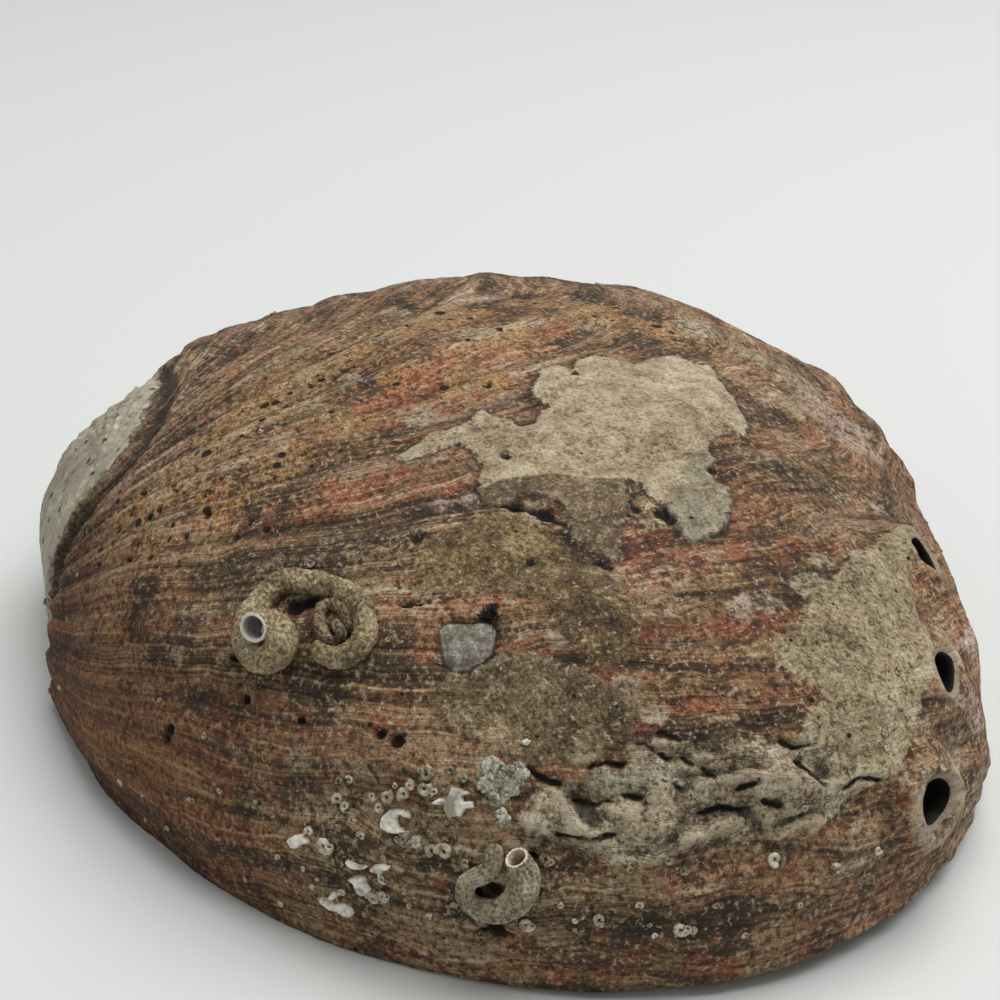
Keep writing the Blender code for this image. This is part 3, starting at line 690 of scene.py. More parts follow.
inner_faces = body.faces[outer_faces:]
for face in inner_faces:
    face.material_index = HOLLOW
bmesh.ops.reverse_faces(body, faces=inner_faces)
open_edges = [edge for edge in body.edges if edge.is_boundary]
bmesh.ops.bridge_loops(body, edges=open_edges)
bmesh.ops.recalc_face_normals(body, faces=body.faces[:])
print("open edges left:", sum(edge.is_boundary for edge in body.edges))
shell_mesh = bpy.data.meshes.new("shell_body")
body.to_mesh(shell_mesh)
body.free()
shell_body = bpy.data.objects.new("shell_body", shell_mesh)
bpy.context.scene.collection.objects.link(shell_body)

# %% [markdown]
# The four open breathing holes go through the wall. A Boolean cuts them, because the wall is already one
# closed mesh, and each cutter is a trumpet: its flare leaves the rounded lip that a worn hole has.

# %% Breathing holes
# Heights in mm from the dome, and widths as shares of the hole's. Those above the wall rise with the rim.
TRUMPET = ((-9.0, 1.6), (-2.6, 1.3), (-1.2, 0.96), (-0.4, 0.86), (0.2, 0.90), (0.7, 1.06), (8.0, 2.0))
HOLE_SIDES, ABOVE_WALL, PEARL_FROM = 40, -2, 0.8 * MM


def trumpet(place, rim):
    way_out, along, across = hole_axes(place)
    turn = Matrix((along, across, way_out)).transposed().to_4x4()
    bm = bmesh.new()
    ring = bmesh.ops.create_circle(bm, segments=HOLE_SIDES, radius=1)["verts"]
    edges = bm.edges[:]
    rings = [ring]
    for _ in TRUMPET[1:]:
        made = bmesh.ops.extrude_edge_only(bm, edges=edges)["geom"]
        rings.append([item for item in made if isinstance(item, bmesh.types.BMVert)])
        edges = [item for item in made if isinstance(item, bmesh.types.BMEdge) and item.is_boundary]
    for ring, (height, width) in zip(rings, TRUMPET):
        for vertex in ring:
            x, y = vertex.co.x * HOLE_LONG / 2, vertex.co.y * HOLE_ACROSS / 2
            vertex.co = (x * width, y * width, height * MM + rim * (height > ABOVE_WALL))
    bottom = [edge for edge in bm.edges if edge.is_boundary and edge.verts[0] in rings[0]]
    bmesh.ops.contextual_create(bm, geom=bottom)
    bmesh.ops.contextual_create(bm, geom=[edge for edge in bm.edges if edge.is_boundary])
    for face in bm.faces:
        face.material_index = HOLE_WALL if face.calc_center_median().z > rim + PEARL_FROM else HOLE_DEPTH
    bmesh.ops.transform(bm, matrix=Matrix.Translation(dome(*place)) @ turn, verts=bm.verts[:])
    bmesh.ops.recalc_face_normals(bm, faces=bm.faces[:])
    return bm


cutters = bpy.data.meshes.new("holes_cutter")
joined = bmesh.new()
for place, rim in OPEN_HOLES:
    one = trumpet(place, rim)
    one_mesh = bpy.data.meshes.new("one_hole")
    one.to_mesh(one_mesh)
    one.free()
    joined.from_mesh(one_mesh)
    bpy.data.meshes.remove(one_mesh)
joined.to_mesh(cutters)
joined.free()
cutter_object = bpy.data.objects.new("holes_cutter", cutters)
bpy.context.scene.collection.objects.link(cutter_object)
for mesh in (shell_mesh, cutters):
    for _ in range(4):
        mesh.materials.append(None)
boolean = shell_body.modifiers.new("breathing_holes", "BOOLEAN")
boolean.operation, boolean.solver, boolean.object = "DIFFERENCE", "MANIFOLD", cutter_object
graph = bpy.context.evaluated_depsgraph_get()
pierced = bpy.data.meshes.new_from_object(shell_body.evaluated_get(graph))
print("after the holes:", len(pierced.polygons), "faces; before:", len(shell_mesh.polygons))

# %% Values for the new corners round the holes
shell_body.modifiers.clear()
bpy.data.objects.remove(cutter_object)
before_tree = KDTree(len(shell_mesh.vertices))
for vertex in shell_mesh.vertices:
    before_tree.insert(vertex.co, vertex.index)
before_tree.balance()
same = np.array([before_tree.find(vertex.co)[1] for vertex in pierced.vertices])
for name in [attribute.name for attribute in shell_mesh.attributes if attribute.data_type == "FLOAT"]:
    values = np.empty(len(shell_mesh.vertices), np.float32)
    shell_mesh.attributes[name].data.foreach_get("value", values)
    set_values(pierced, {name: values[same]})
shell_body.data = pierced
pierced.shade_smooth()
pierced.update()

# %% [markdown]
# Every finish is made of nodes, and one helper adds a node, sets it and links it. Colours are written as
# the hex values that a person reads off a screen, and one function turns them to the shader's linear
# values. A finish is built up as a painter does it, coat over coat, so one function lays a coat where a
# mask lets it.

# %% Colour and node helpers
TONE_PLACES = (0.05, 0.28, 0.5, 0.72, 0.95)


def colour(code):
    """A screen colour such as #a08060 as linear red, green, blue and alpha."""
    channels = [int(code[i:i + 2], 16) / 255 for i in (1, 3, 5)]
    return (*[c / 12.92 if c <= 0.04045 else ((c + 0.055) / 1.055) ** 2.4 for c in channels], 1.0)


def tints(codes, places=TONE_PLACES):
    """Stops of a colour range, from the darkest tone to the lightest."""
    return tuple(zip(places, codes.split()))


def add(tree, kind, settings=None, links=None):
    """Adds a node. Links gives each input, by name or number, a value, a node or an output."""
    node = tree.nodes.new("ShaderNode" + kind)
    for name, value in (settings or {}).items():
        if name != "stops":
            setattr(node, name, value)
            continue
        stops = node.color_ramp.elements
        while len(stops) < len(value):
            stops.new(0.5)
        for stop, (place, shade) in zip(stops, value):
            stop.position, stop.color = place, colour(shade)
    for key, value in (links or {}).items():
        named = [socket for socket in node.inputs if socket.name == key and socket.enabled]
        socket = node.inputs[key] if isinstance(key, int) else named[0]
        if isinstance(value, bpy.types.Node):
            value = next(output for output in value.outputs if output.enabled)
        if isinstance(value, bpy.types.NodeSocket):
            tree.links.new(value, socket)
        else:
            socket.default_value = value
    return node


MULTIPLY, MINUS, TIMES_PLUS, HIGHER = (
    {"operation": word} for word in ("MULTIPLY", "SUBTRACT", "MULTIPLY_ADD", "MAXIMUM")
)
BLEND = {"data_type": "RGBA"}
EASED = {"interpolation_type": "SMOOTHSTEP"}


def new_finish(name):
    """An empty finish and its node tree."""
    finish = bpy.data.materials.new(name)
    finish.use_nodes = True
    finish.node_tree.nodes.clear()
    return finish, finish.node_tree


def end_finish(tree, sockets):
    """Ends a finish with its surface and the output."""
    add(tree, "OutputMaterial", {}, {"Surface": add(tree, "BsdfPrincipled", {}, sockets)})


def summed(tree, *shares):
    """The sum of values, each times its share."""
    total = add(tree, "Math", MULTIPLY, {0: shares[0][0], 1: shares[0][1]})
    for value, share in shares[1:]:
        total = add(tree, "Math", TIMES_PLUS, {0: value, 1: share, 2: total})
    return total


def mask_of(tree, value, start, end, most=1.0, fray=(None, 0)):
    """0 before start, rising to most at end. Fray is a noise and how far it moves the edge."""
    frayed_by, fray_size = fray
    if fray_size:
        value = add(tree, "Math", TIMES_PLUS, {0: frayed_by, 1: fray_size, 2: value})
    start, end = start + fray_size / 2, end + fray_size / 2
    return add(tree, "MapRange", EASED, {"Value": value, "From Min": start, "From Max": end, "To Max": most})


def coat(tree, under, mask, over, tone=None):
    """Lays a colour over a look, or the colours that a tone picks from a range."""
    shade = colour(over) if tone is None else add(tree, "ValToRGB", {"stops": over}, {"Fac": tone})
    return add(tree, "Mix", BLEND, {"Factor": mask, "A": under, "B": shade})


# %% [markdown]
# The outside is lime, worn by the sea: brick red where the outer layer is whole, brown where it is stained,
# and pale where dust of lime lies on it. It has no gloss. The growth lines come first, in several widths.

# %% Growth lines
LINE_ROUGHNESS = 0.62


def growth_lines(tree, flat, along, across, detail=3.0):
    """Noise stretched along the old lips: along and across are its grain in millimetres."""
    scaled = add(tree, "VectorMath", MULTIPLY, {0: flat, 1: (1000 / along, 1000 / across, 1)})
    return add(tree, "TexNoise", {"noise_dimensions": "2D"}, {
        "Vector": scaled, "Scale": 1.0, "Detail": detail, "Roughness": LINE_ROUGHNESS,
    })


# %% Weathered outer layer
# Grains in millimetres, then detail: of lines, along and across the old lips, and of clouds, the largest
# blotches, with their roughness last.
LINE_GRAINS = ((5, 0.34, 2.0), (11, 0.9), (22, 2.8), (60, 8), (40, 3.4, 5.0), (10, 3.6, 4.0))
CLOUD_GRAINS = (
    (0.42, 2.0, 0.6), (1.0, 4.0, 0.65), (0.75, 3.0, 0.6), (3.2, 8.0, 0.75), (9.0, 9.0, 0.72),
    (26.0, 8.0, 0.6),
)
shell_lime, tree = new_finish("weathered_brick_red_lime")
place = add(tree, "TexCoord").outputs["Object"]
read = {
    name: add(tree, "Attribute", {"attribute_name": name}).outputs["Fac"]
    for name in FINISH_VALUES if name != "from_rim"
}
flat = add(tree, "CombineXYZ", {}, {"X": read["along"], "Y": read["across"]})
hair_lines, fine_lines, wide_lines, bands, streaks, crease_lines = (
    growth_lines(tree, flat, *grain) for grain in LINE_GRAINS
)
sand, grit, pepper, speckle, blotch, cloud = (
    add(tree, "TexNoise", {}, {"Vector": place, "Scale": 1000 / grain, "Detail": detail, "Roughness": rough})
    for grain, detail, rough in CLOUD_GRAINS
)
line_tone = summed(tree, (hair_lines, 0.24), (fine_lines, 0.28), (wide_lines, 0.30), (bands, 0.18))
stone_tone = summed(tree, (sand, 0.36), (grit, 0.30), (speckle, 0.22), (blotch, 0.12))
ragged = summed(tree, (blotch, 0.55), (grit, 0.45))
lined = add(tree, "MapRange", EASED, {
    "Value": read["pitted"], "From Min": 0.2, "From Max": 0.9, "To Min": 0.62, "To Max": 0.18,
})
tone = add(tree, "Mix", {"data_type": "FLOAT"}, {"Factor": lined, "A": stone_tone, "B": line_tone})
# The relief's crests lighten the tone and its hollows darken it, as painted light and shade.
tone = add(tree, "Math", TIMES_PLUS, {0: read["crest"], 1: 0.022, 2: tone})
tone = add(tree, "MapRange", {}, {"Value": tone, "From Min": 0.375, "From Max": 0.60})

# %% Base colours of the outer layer
# Brick where the red layer is whole, brown where it is weathered, mauve where it is worn thin.
BRICK = tints("#25130b #5a3222 #8a5839 #ab7b59 #d8ba9a")
BROWN = tints("#1e1409 #503a22 #83653f #a6885c #d5bf95")
MAUVE = tints("#2f201b #644b42 #917062 #ac8f82 #d8c7b9")
redness = summed(tree, (cloud, 1.0), (wide_lines, 1.1), (ragged, 0.6))
look = add(tree, "ValToRGB", {"stops": BROWN}, {"Fac": tone})
look = coat(tree, look, mask_of(tree, redness, 1.15, 1.55), BRICK, tone)
look = coat(tree, look, mask_of(tree, bands, 0.57, 0.66, 0.65, (ragged, 0.9)), MAUVE, tone)

# %% Dark, brick and pale streaks
# A minus sign turns the source round, so that its low places are streaked.
STREAK_DARK, STREAK_BRICK, STREAK_PALE = (tints(codes, (0.1, 0.5, 0.9)) for codes in (
    "#120c07 #382819 #85704f", "#33160d #8c4f35 #cd9f7a", "#54432e #a48b67 #dccdb0",
))
for source, sign, start, end, most, stops in (
    (streaks, 1, 0.54, 0.62, 0.80, STREAK_DARK), (streaks, -1, -0.455, -0.38, 0.70, STREAK_BRICK),
    (blotch, 1, 0.55, 0.64, 0.65, STREAK_PALE), (blotch, -1, -0.44, -0.36, 0.75, STREAK_DARK),
):
    towards = add(tree, "Math", MULTIPLY, {0: source, 1: sign})
    look = coat(tree, look, mask_of(tree, towards, start, end, most, (grit, 0.25)), stops, tone)

# %% Stains over the growth lines
# Each stain is a colour range over the same lines and grit: its name, how much it frays, its strength.
STAINS = (
    ("pitted", 2.0, 0.92, "#2f1d0f #6e4923 #a57842 #c4985e #e8cd96"),
    ("orange", 2.4, 0.85, "#3c1d11 #7c472b #ad6a45 #c68c61 #e2c5a2"),
    ("red", 2.0, 0.74, "#2e150c #60301d #904f33 #ad7352 #d3aa88"),
    ("pink", 2.4, 0.93, "#5c4940 #9c8071 #c1a797 #d2bfaf #eae0d5"),
    ("pale", 3.0, 0.85, "#463a2a #85755c #ac9c80 #c5b89c #e3dac6"),
    # The dark stain is grime with painted shade.
    ("dark", 3.0, 0.90, "#0d0905 #231a10 #41331f #6b5b42 #b0a184"),
)
for name, fray, strength, codes in STAINS:
    mask = mask_of(tree, read[name], 0.15, 0.62, strength, (ragged, fray))
    look = coat(tree, look, mask, tints(codes), tone)

# %% Films of old growth that lie in patches everywhere
FILM = tints("#302214 #67523a #927753 #b19974 #d8c9a9", (0.05, 0.3, 0.5, 0.7, 0.95))
look = coat(tree, look, mask_of(tree, cloud, 0.52, 0.60, 0.75, (ragged, 2.2)), FILM, tone)
look = coat(tree, look, mask_of(tree, speckle, 0.53, 0.66, 0.62, (ragged, -1.8)), "#241a10")

# %% Pits bored by sponges
# Boring sponges leave round pits of 0.5 to 1.1 mm about 3.4 mm apart, each painted dark inside as shade.
PIT_SPACING = 3.4
pit_cells = add(tree, "TexVoronoi", {}, {"Vector": place, "Scale": 1000 / PIT_SPACING, "Randomness": 1.0})
pit_size = add(tree, "SeparateColor", {}, {"Color": pit_cells.outputs["Color"]})
pit_reach = summed(tree, (pit_size, 0.20), (read["pitted"], 0.22))
pit_depth = add(tree, "Math", MINUS, {0: pit_reach, 1: pit_cells.outputs["Distance"]})
pit = mask_of(tree, pit_depth, 0.07, 0.12)
look = coat(tree, look, mask_of(tree, pit_depth, -0.04, 0.07, 0.35), "#8a6540")

# %% Crust sheets
# Name, how far the edge frays in mm, how soft the edge is in mm, strength, and the colours.
CRUST_PLACES = (0.05, 0.28, 0.5, 0.7, 0.95)
CRUSTS = (
    ("right_crust", 8.0, 0.5, 0.94, "#3d3220 #786a4d #a0906f #b9ab88 #dbd0b3"),
    ("olive_crust", 7.0, 0.5, 0.92, "#150e07 #3c2e19 #604b2d #7e6941 #ae9a6e"),
    ("lower_crust", 7.0, 0.4, 0.92, "#1f170c #4c3d27 #716043 #8d7b5a #b8a985"),
    ("ledge_band", 10.0, 1.0, 0.92, "#1e150b #64553b #9d8e70 #c3b799 #e8e1cc"),
    ("big_crust", 5.0, 0.22, 1.0, "#594730 #917e60 #b7a788 #cdbfa3 #e5dcc6"),
    ("tongue", 4.0, 0.25, 0.95, "#2a1f12 #403120 #59472f #6f5c42 #998669"),
    ("pale_lobe", 4.0, 0.3, 0.95, "#5f5844 #847c66 #9a937c #aca58f #c8c2ae"),
)
GREY_GREEN = tints("#3a3628 #696450 #8f8b76 #aca893 #d0ccb9", CRUST_PLACES)
crust_tone = summed(tree, (sand, 0.22), (grit, 0.16), (speckle, 0.34), (cloud, 0.28))
crust_tone = add(tree, "MapRange", {}, {"Value": crust_tone, "From Min": 0.38, "From Max": 0.595})
masks = {}
for name, fray, edge, strength, codes in CRUSTS:
    masks[name] = mask_of(tree, read[name], -edge * MM, edge * MM, strength, (ragged, fray * MM))
    look = coat(tree, look, masks[name], tints(codes, CRUST_PLACES), crust_tone)
edge_shade = mask_of(tree, read["big_crust"], -0.9 * MM, -0.2 * MM, fray=(ragged, 5.0 * MM))
edge_shade = add(tree, "Math", MINUS, {0: edge_shade, 1: masks["big_crust"]})
edge_shade = add(tree, "Math", {**MULTIPLY, "use_clamp": True}, {0: edge_shade, 1: 0.5})
look = coat(tree, look, edge_shade, "#1d150d")
tanned = mask_of(tree, blotch, 0.50, 0.60, 0.45, (grit, 0.5))
tanned = add(tree, "Math", MULTIPLY, {0: tanned, 1: masks["big_crust"]})
look = coat(tree, look, tanned, FILM, crust_tone)
look = coat(tree, look, mask_of(tree, read["beads"], 0.25, 0.6, 0.85, (ragged, 2.4)), GREY_GREEN, crust_tone)

# %% Crevices, grime, dust and painted shade
# # Thin creases and the hollows of every size are painted dark as shade, and the crests pale as painted
# highlight. Dark specks of grime lean to the hollows and pale dust to the high points.
# Thin creases of the ledges, dented and painted dark as shade.
shaded_crease = add(tree, "Math", MINUS, {0: crease_lines, 1: 0.5})
shaded_crease = add(tree, "Math", {"operation": "ABSOLUTE"}, {0: shaded_crease})
crease_share = summed(tree, (masks["ledge_band"], 0.32), (mask_of(tree, ragged, 0.5, 0.6), 0.35))
shaded_crease = mask_of(tree, shaded_crease, 0.020, 0.004, crease_share)
look = coat(tree, look, shaded_crease, "#140e08")
# Painted shade in the hollows of the relief, and a painted highlight on its crests.
look = coat(tree, look, mask_of(tree, read["crest"], -0.3, -1.5, 0.75), "#1b130c")
look = coat(tree, look, mask_of(tree, read["crest"], 0.5, 1.8, 0.6), "#c4b69b")
clean = add(tree, "Math", MULTIPLY, {0: read["pitted"], 1: 0.75})
clean = add(tree, "Math", HIGHER, {0: masks["big_crust"], 1: clean})
clean = add(tree, "MapRange", {}, {"Value": clean, "To Min": 0.68, "To Max": 0.40})
# Specks of grime and dust, pulled towards the hollows and crests as painted shade and highlight.
specks_and_relief_light = add(tree, "Math", TIMES_PLUS, {0: read["crest"], 1: 0.016, 2: pepper})
look = coat(tree, look, mask_of(tree, specks_and_relief_light, 0.455, 0.36, clean), "#231910")
look = coat(tree, look, mask_of(tree, specks_and_relief_light, 0.57, 0.68, 0.55), "#d3c8b2")
# The pits, painted dark as shade.
look = coat(tree, look, pit, "#1a110a")
# Painted shade in the dark spots, pits and crevices.
look = coat(tree, look, mask_of(tree, read["black"], 0.35, 0.62, 0.93, (ragged, 3.6)), "#130d08")

# %% Painted shade and brown stain that grow towards the foot of the left and front side
sides = add(tree, "SeparateXYZ", {}, {"Vector": place})
low_down = mask_of(tree, sides.outputs["Z"], 42 * MM, 14 * MM)
leftwards = mask_of(tree, sides.outputs["X"], 66 * MM, 30 * MM)
shade_and_stain = add(tree, "Math", MULTIPLY, {0: low_down, 1: leftwards})
shade_and_stain = add(tree, "MapRange", {}, {"Value": shade_and_stain, "To Min": 0.15, "To Max": 0.95})
# Darker towards the foot and the left: part brown stain, part painted shade.
look = add(tree, "Mix", {**BLEND, "blend_type": "MULTIPLY"}, {
    "Factor": shade_and_stain, "A": look, "B": colour("#c49c70"),
})

# %% The worn spire, its groove, the pearl spot and the rims of the holes
PEARL_TINT = tints(
    "#3a2f20 #766a50 #a0957a #bbb39c #a9a19f #bdb18f #d6ccac #ece6d4",
    (0.05, 0.2, 0.34, 0.46, 0.54, 0.62, 0.78, 0.95),
)
GROOVE_TINT = tints("#150e08 #3d2d1d #8a755b", (0.2, 0.6, 0.95))
SPOT_TINT = tints("#2f281c #544b3c #6e6659 #8f897c #c9c5b9", (0.1, 0.3, 0.5, 0.7, 0.92))
spire_mask = mask_of(tree, read["spire"], -0.2 * MM, 1.2 * MM, 0.9, (ragged, 9 * MM))
pearl_tone = summed(tree, (blotch, 0.55), (speckle, 0.75), (grit, 0.55))
pearl_tone = add(tree, "MapRange", {}, {"Value": pearl_tone, "From Min": 0.68, "From Max": 1.16})
look = coat(tree, look, spire_mask, PEARL_TINT, pearl_tone)
groove = mask_of(tree, read["suture"], 2.6 * MM, 0.7 * MM, 0.90, (ragged, 3.5 * MM))
look = coat(tree, look, groove, GROOVE_TINT, tone)
# Pits in the worn spire, painted dark as shade.
spire_pit = add(tree, "Math", MINUS, {0: 0.20, 1: pit_cells.outputs["Distance"]})
spire_pit = add(tree, "Math", MULTIPLY, {0: mask_of(tree, spire_pit, 0, 0.07), 1: spire_mask})
look = coat(tree, look, spire_pit, "#2a211a")
spot_mask = mask_of(tree, read["worn_spot"], -0.2 * MM, 0.3 * MM, fray=(speckle, 2.0 * MM))
look = coat(tree, look, spot_mask, SPOT_TINT, summed(tree, (tone, 0.4), (crust_tone, 0.6)))
hole_rim = mask_of(tree, read["hole"], 0.55 * MM, 0.15 * MM, 0.75, (ragged, 1.0 * MM))
look = coat(tree, look, hole_rim, "#a89a84")

# %% Height of the fine surface, in millimetres
height = summed(
    tree, (line_tone, 1.0), (speckle, 0.8), (grit, 0.55), (pepper, 0.35), (sand, 0.18), (pit, -0.6),
    (shaded_crease, -0.5), (masks["big_crust"], 0.2),
)
worn = add(tree, "Math", HIGHER, {0: spire_mask, 1: spot_mask})
relief_share = add(tree, "MapRange", {}, {"Value": worn, "To Min": 1.0, "To Max": 0.35})
height = add(tree, "Math", MULTIPLY, {0: height, 1: relief_share})
bump = add(tree, "Bump", {}, {"Strength": 1.0, "Distance": 1 * MM, "Height": height})
dull = add(tree, "MapRange", {}, {"Value": worn, "To Min": 0.80, "To Max": 0.55})
end_finish(tree, {
    "Base Color": look, "Roughness": dull, "Normal": bump, "Specular IOR Level": 0.4, "IOR": 1.52,
})
print("the outer layer uses", len(tree.nodes), "nodes")

# %% [markdown]
# The hollow is mother of pearl: thin plates of the same lime, laid so evenly that light splits on them into
# soft silver, pink, green and blue. The tints are painted as low contrast patches, so that they last.

# %% Mother of pearl
PEARL = tints(
    "#b9c6c4 #d9d3cd #e3c8c9 #cfd8c6 #b4cfcc #cdc3da #e4dccf", (0.36, 0.43, 0.48, 0.53, 0.58, 0.64, 0.72)
)
mother_of_pearl, tree = new_finish("mother_of_pearl")
place = add(tree, "TexCoord").outputs["Object"]
read = {
    name: add(tree, "Attribute", {"attribute_name": name}).outputs["Fac"]
    for name in ("along", "across", "from_rim", "scar")
}
flat = add(tree, "CombineXYZ", {}, {"X": read["along"], "Y": read["across"]})
drift = add(tree, "TexNoise", {}, {"Vector": place, "Scale": 1000 / 29, "Detail": 5.0, "Roughness": 0.55})
ripple = growth_lines(tree, flat, 60, 6)
red_edge = mask_of(tree, read["from_rim"], 3.6 * MM, 2.2 * MM, fray=(drift, 5 * MM))
pearl = add(tree, "ValToRGB", {"stops": PEARL}, {"Fac": summed(tree, (drift, 0.62), (ripple, 0.45))})
pearl = coat(tree, pearl, red_edge, "#8a4b3a")
pearl = coat(tree, pearl, mask_of(tree, read["scar"], -2 * MM, 2 * MM, 0.5), "#a9a08c")
shine = add(tree, "MapRange", {}, {"Value": red_edge, "To Min": 0.24, "To Max": 0.6})
wave_height = add(tree, "Math", MULTIPLY, {0: ripple, 1: 0.5})
ripples = add(tree, "Bump", {}, {"Strength": 1.0, "Distance": 1 * MM, "Height": wave_height})
end_finish(tree, {
    "Base Color": pearl, "Roughness": shine, "Normal": ripples, "IOR": 1.6, "Coat Weight": 0.3,
    "Coat Roughness": 0.15,
})

# %% Walls of the holes
# Near the outside a hole's wall is grey pearl in cloudy patches of 2.4 mm, and further in it is
# # painted dark as shade.
hole_pearl, tree = new_finish("grey_pearl_of_the_holes")
place = add(tree, "TexCoord").outputs["Object"]
cloudy = add(tree, "TexNoise", {}, {"Vector": place, "Scale": 1000 / 2.4, "Detail": 5.0, "Roughness": 0.6})
wall_tint = tints("#1a150f #2f271e #4d4236", (0.35, 0.55, 0.7))
grey = add(tree, "ValToRGB", {"stops": wall_tint}, {"Fac": cloudy})
end_finish(tree, {"Base Color": grey, "Roughness": 0.45, "IOR": 1.55})
hole_depth, tree = new_finish("painted_shade_depth_of_the_holes")
end_finish(tree, {"Base Color": colour("#17120c"), "Roughness": 0.8})

for number, finish in enumerate((shell_lime, mother_of_pearl, hole_pearl, hole_depth)):
    pierced.materials[number] = finish
numbers = np.empty(len(pierced.polygons), np.int32)
pierced.polygons.foreach_get("material_index", numbers)
print("faces of the outside, the hollow, the hole walls and their depth:", np.bincount(numbers))
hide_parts("shell")
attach(shell_body, "root")

# %% [markdown]
# Two worm snails and many tiny worms have cemented their tubes to the shell. A tube grows at its mouth, so
# each one here is a route with a width, swept from its tail to its mouth. The routes are read off the photo
# and laid on the finished surface, which a ray finds, so a tube touches the shell wherever the relief has
# moved it.

# %% A place on the finished surface
shell_tree = BVHTree.FromPolygons(
    [vertex.co for vertex in pierced.vertices], [face.vertices[:] for face in pierced.polygons]
)


def pixel_of(point):
    away = point - CAMERA_AT
    return PHOTO_MIDDLE + FOCAL_PIXELS * np.array([away @ RIGHT, -away @ CAMERA_UP]) / -(away @ BACK)


def on_shell(x, y, rise=0.0):
    """The point this high off the finished surface that shows at a photo pixel, and the way out there."""
    aim = np.array([x, y], float)
    for _ in range(4):
        ray = RIGHT * (aim[0] - PHOTO_MIDDLE) + CAMERA_UP * (PHOTO_MIDDLE - aim[1]) - BACK * FOCAL_PIXELS
        hit = shell_tree.ray_cast(Vector(CAMERA_AT), Vector(ray))[0]
        way_out = dome_tree.find_nearest(hit)[1]
        point = np.array(hit + way_out * rise)
        aim += (x, y) - pixel_of(point)
    return point, np.array(way_out)


def on_side(angle, up):
    """The same for a place on the dome, on any side of the shell."""
    way_out = outward(np.array([angle]), np.array([up]))[0]
    start = dome(angle, up) + way_out * 15 * MM
    return np.array(shell_tree.ray_cast(Vector(start), Vector(-way_out))[0]), way_out


def new_piece(name, bm, finish, node=None):
    bmesh.ops.recalc_face_normals(bm, faces=bm.faces[:])
    mesh = bpy.data.meshes.new(name)
    bm.to_mesh(mesh)
    bm.free()
    mesh.shade_smooth()
    mesh.materials.append(finish)
    piece = bpy.data.objects.new(name, mesh)
    bpy.context.scene.collection.objects.link(piece)
    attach(piece, "root")
    if node:
        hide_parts(node)
    print(name, "has", len(mesh.polygons), "faces")
    return piece


# %% Sweeping a tube
def along_curve(knots, spacing):
    """Even steps on a smooth curve through the knots. The first three numbers of a knot are its place."""
    ends = np.vstack([2 * knots[0] - knots[1], knots, 2 * knots[-1] - knots[-2]])
    t = np.linspace(0, 1, 24, endpoint=False)[:, None]
    parts = [
        b + 0.5 * t * (c - a + t * (2 * a - 5 * b + 4 * c - d + t * (3 * (b - c) + d - a)))
        for a, b, c, d in zip(ends, ends[1:], ends[2:], ends[3:])
    ]
    curve = np.vstack([*parts, knots[-1:]])
    run = np.append(0, np.cumsum(np.linalg.norm(np.diff(curve[:, :3], axis=0), axis=1)))
    even = np.linspace(0, run[-1], max(int(run[-1] / spacing), 4))
    return np.stack([np.interp(even, run, column) for column in curve.T], 1), even


def sweep(bm, knots, wall, depth, spacing, sides, lip_steps, skin_relief=None, shade=0.5):
    """Adds a tube from its closed tail to an open mouth with a bore. A knot is place, way out and radius."""
    route, run = along_curve(np.array(knots), spacing)
    radius, length = route[:, 6], run[-1]
    tail = (run / radius[0]).clip(0, 1)
    half_turn = np.linspace(0, math.pi, lip_steps + 1)[1:]
    bore = np.linspace(0, depth, max(int(depth / spacing), 2))[1:]
    station = np.concatenate([run, length + wall / 2 * np.sin(half_turn), length - bore])
    width = np.concatenate([
        radius * np.sqrt(1 - (1 - tail) ** 2),
        radius[-1] - wall / 2 * (1 - np.cos(half_turn)),
        np.where(bore < depth, radius[-1] - wall, 0),
    ])
    inside = np.concatenate([np.zeros(len(run)), np.linspace(0.4, 1, lip_steps), 1 + bore / depth])
    step = np.gradient(route[:, :3], axis=0)
    columns = np.hstack([route[:, :6], step / np.linalg.norm(step, axis=1, keepdims=True)])
    at = np.stack([np.interp(station, run, column) for column in columns.T], 1)
    tangent = at[:, 6:9]
    centre = at[:, :3] + tangent * (station - length).clip(0)[:, None]
    side = np.cross(tangent, at[:, 3:6])
    side /= np.linalg.norm(side, axis=1, keepdims=True)
    rise = np.cross(side, tangent)
    bore_layer = bm.verts.layers.float.get("bore") or bm.verts.layers.float.new("bore")
    shade_layer = bm.verts.layers.float.get("shade") or bm.verts.layers.float.new("shade")
    verts = bmesh.ops.create_grid(bm, x_segments=len(station) - 1, y_segments=sides, size=1)["verts"]
    grid = np.array([vertex.co for vertex in verts])
    row = np.rint((grid[:, 0] + 1) / 2 * (len(station) - 1)).astype(int)
    turn = (grid[:, 1] + 1) * math.pi
    away = side[row] * np.cos(turn)[:, None] + rise[row] * np.sin(turn)[:, None]
    points = centre[row] + away * width[row][:, None]
    if skin_relief:
        outer = (1 - inside[row]).clip(0) * (width[row] > 0)
        points += away * (skin_relief(points, station[row], turn) * outer)[:, None]
    for vertex, point, value in zip(verts, points, inside[row]):
        vertex.co = point
        vertex[bore_layer], vertex[shade_layer] = value, shade
    bmesh.ops.remove_doubles(bm, verts=verts, dist=1e-7)


def knots_on_shell(marks):
    """Knots from rows of photo place, rise of the centre in mm and radius in mm."""
    return [np.append(np.concatenate(on_shell(x, y, rise * MM)), radius * MM) for x, y, rise, radius in marks]


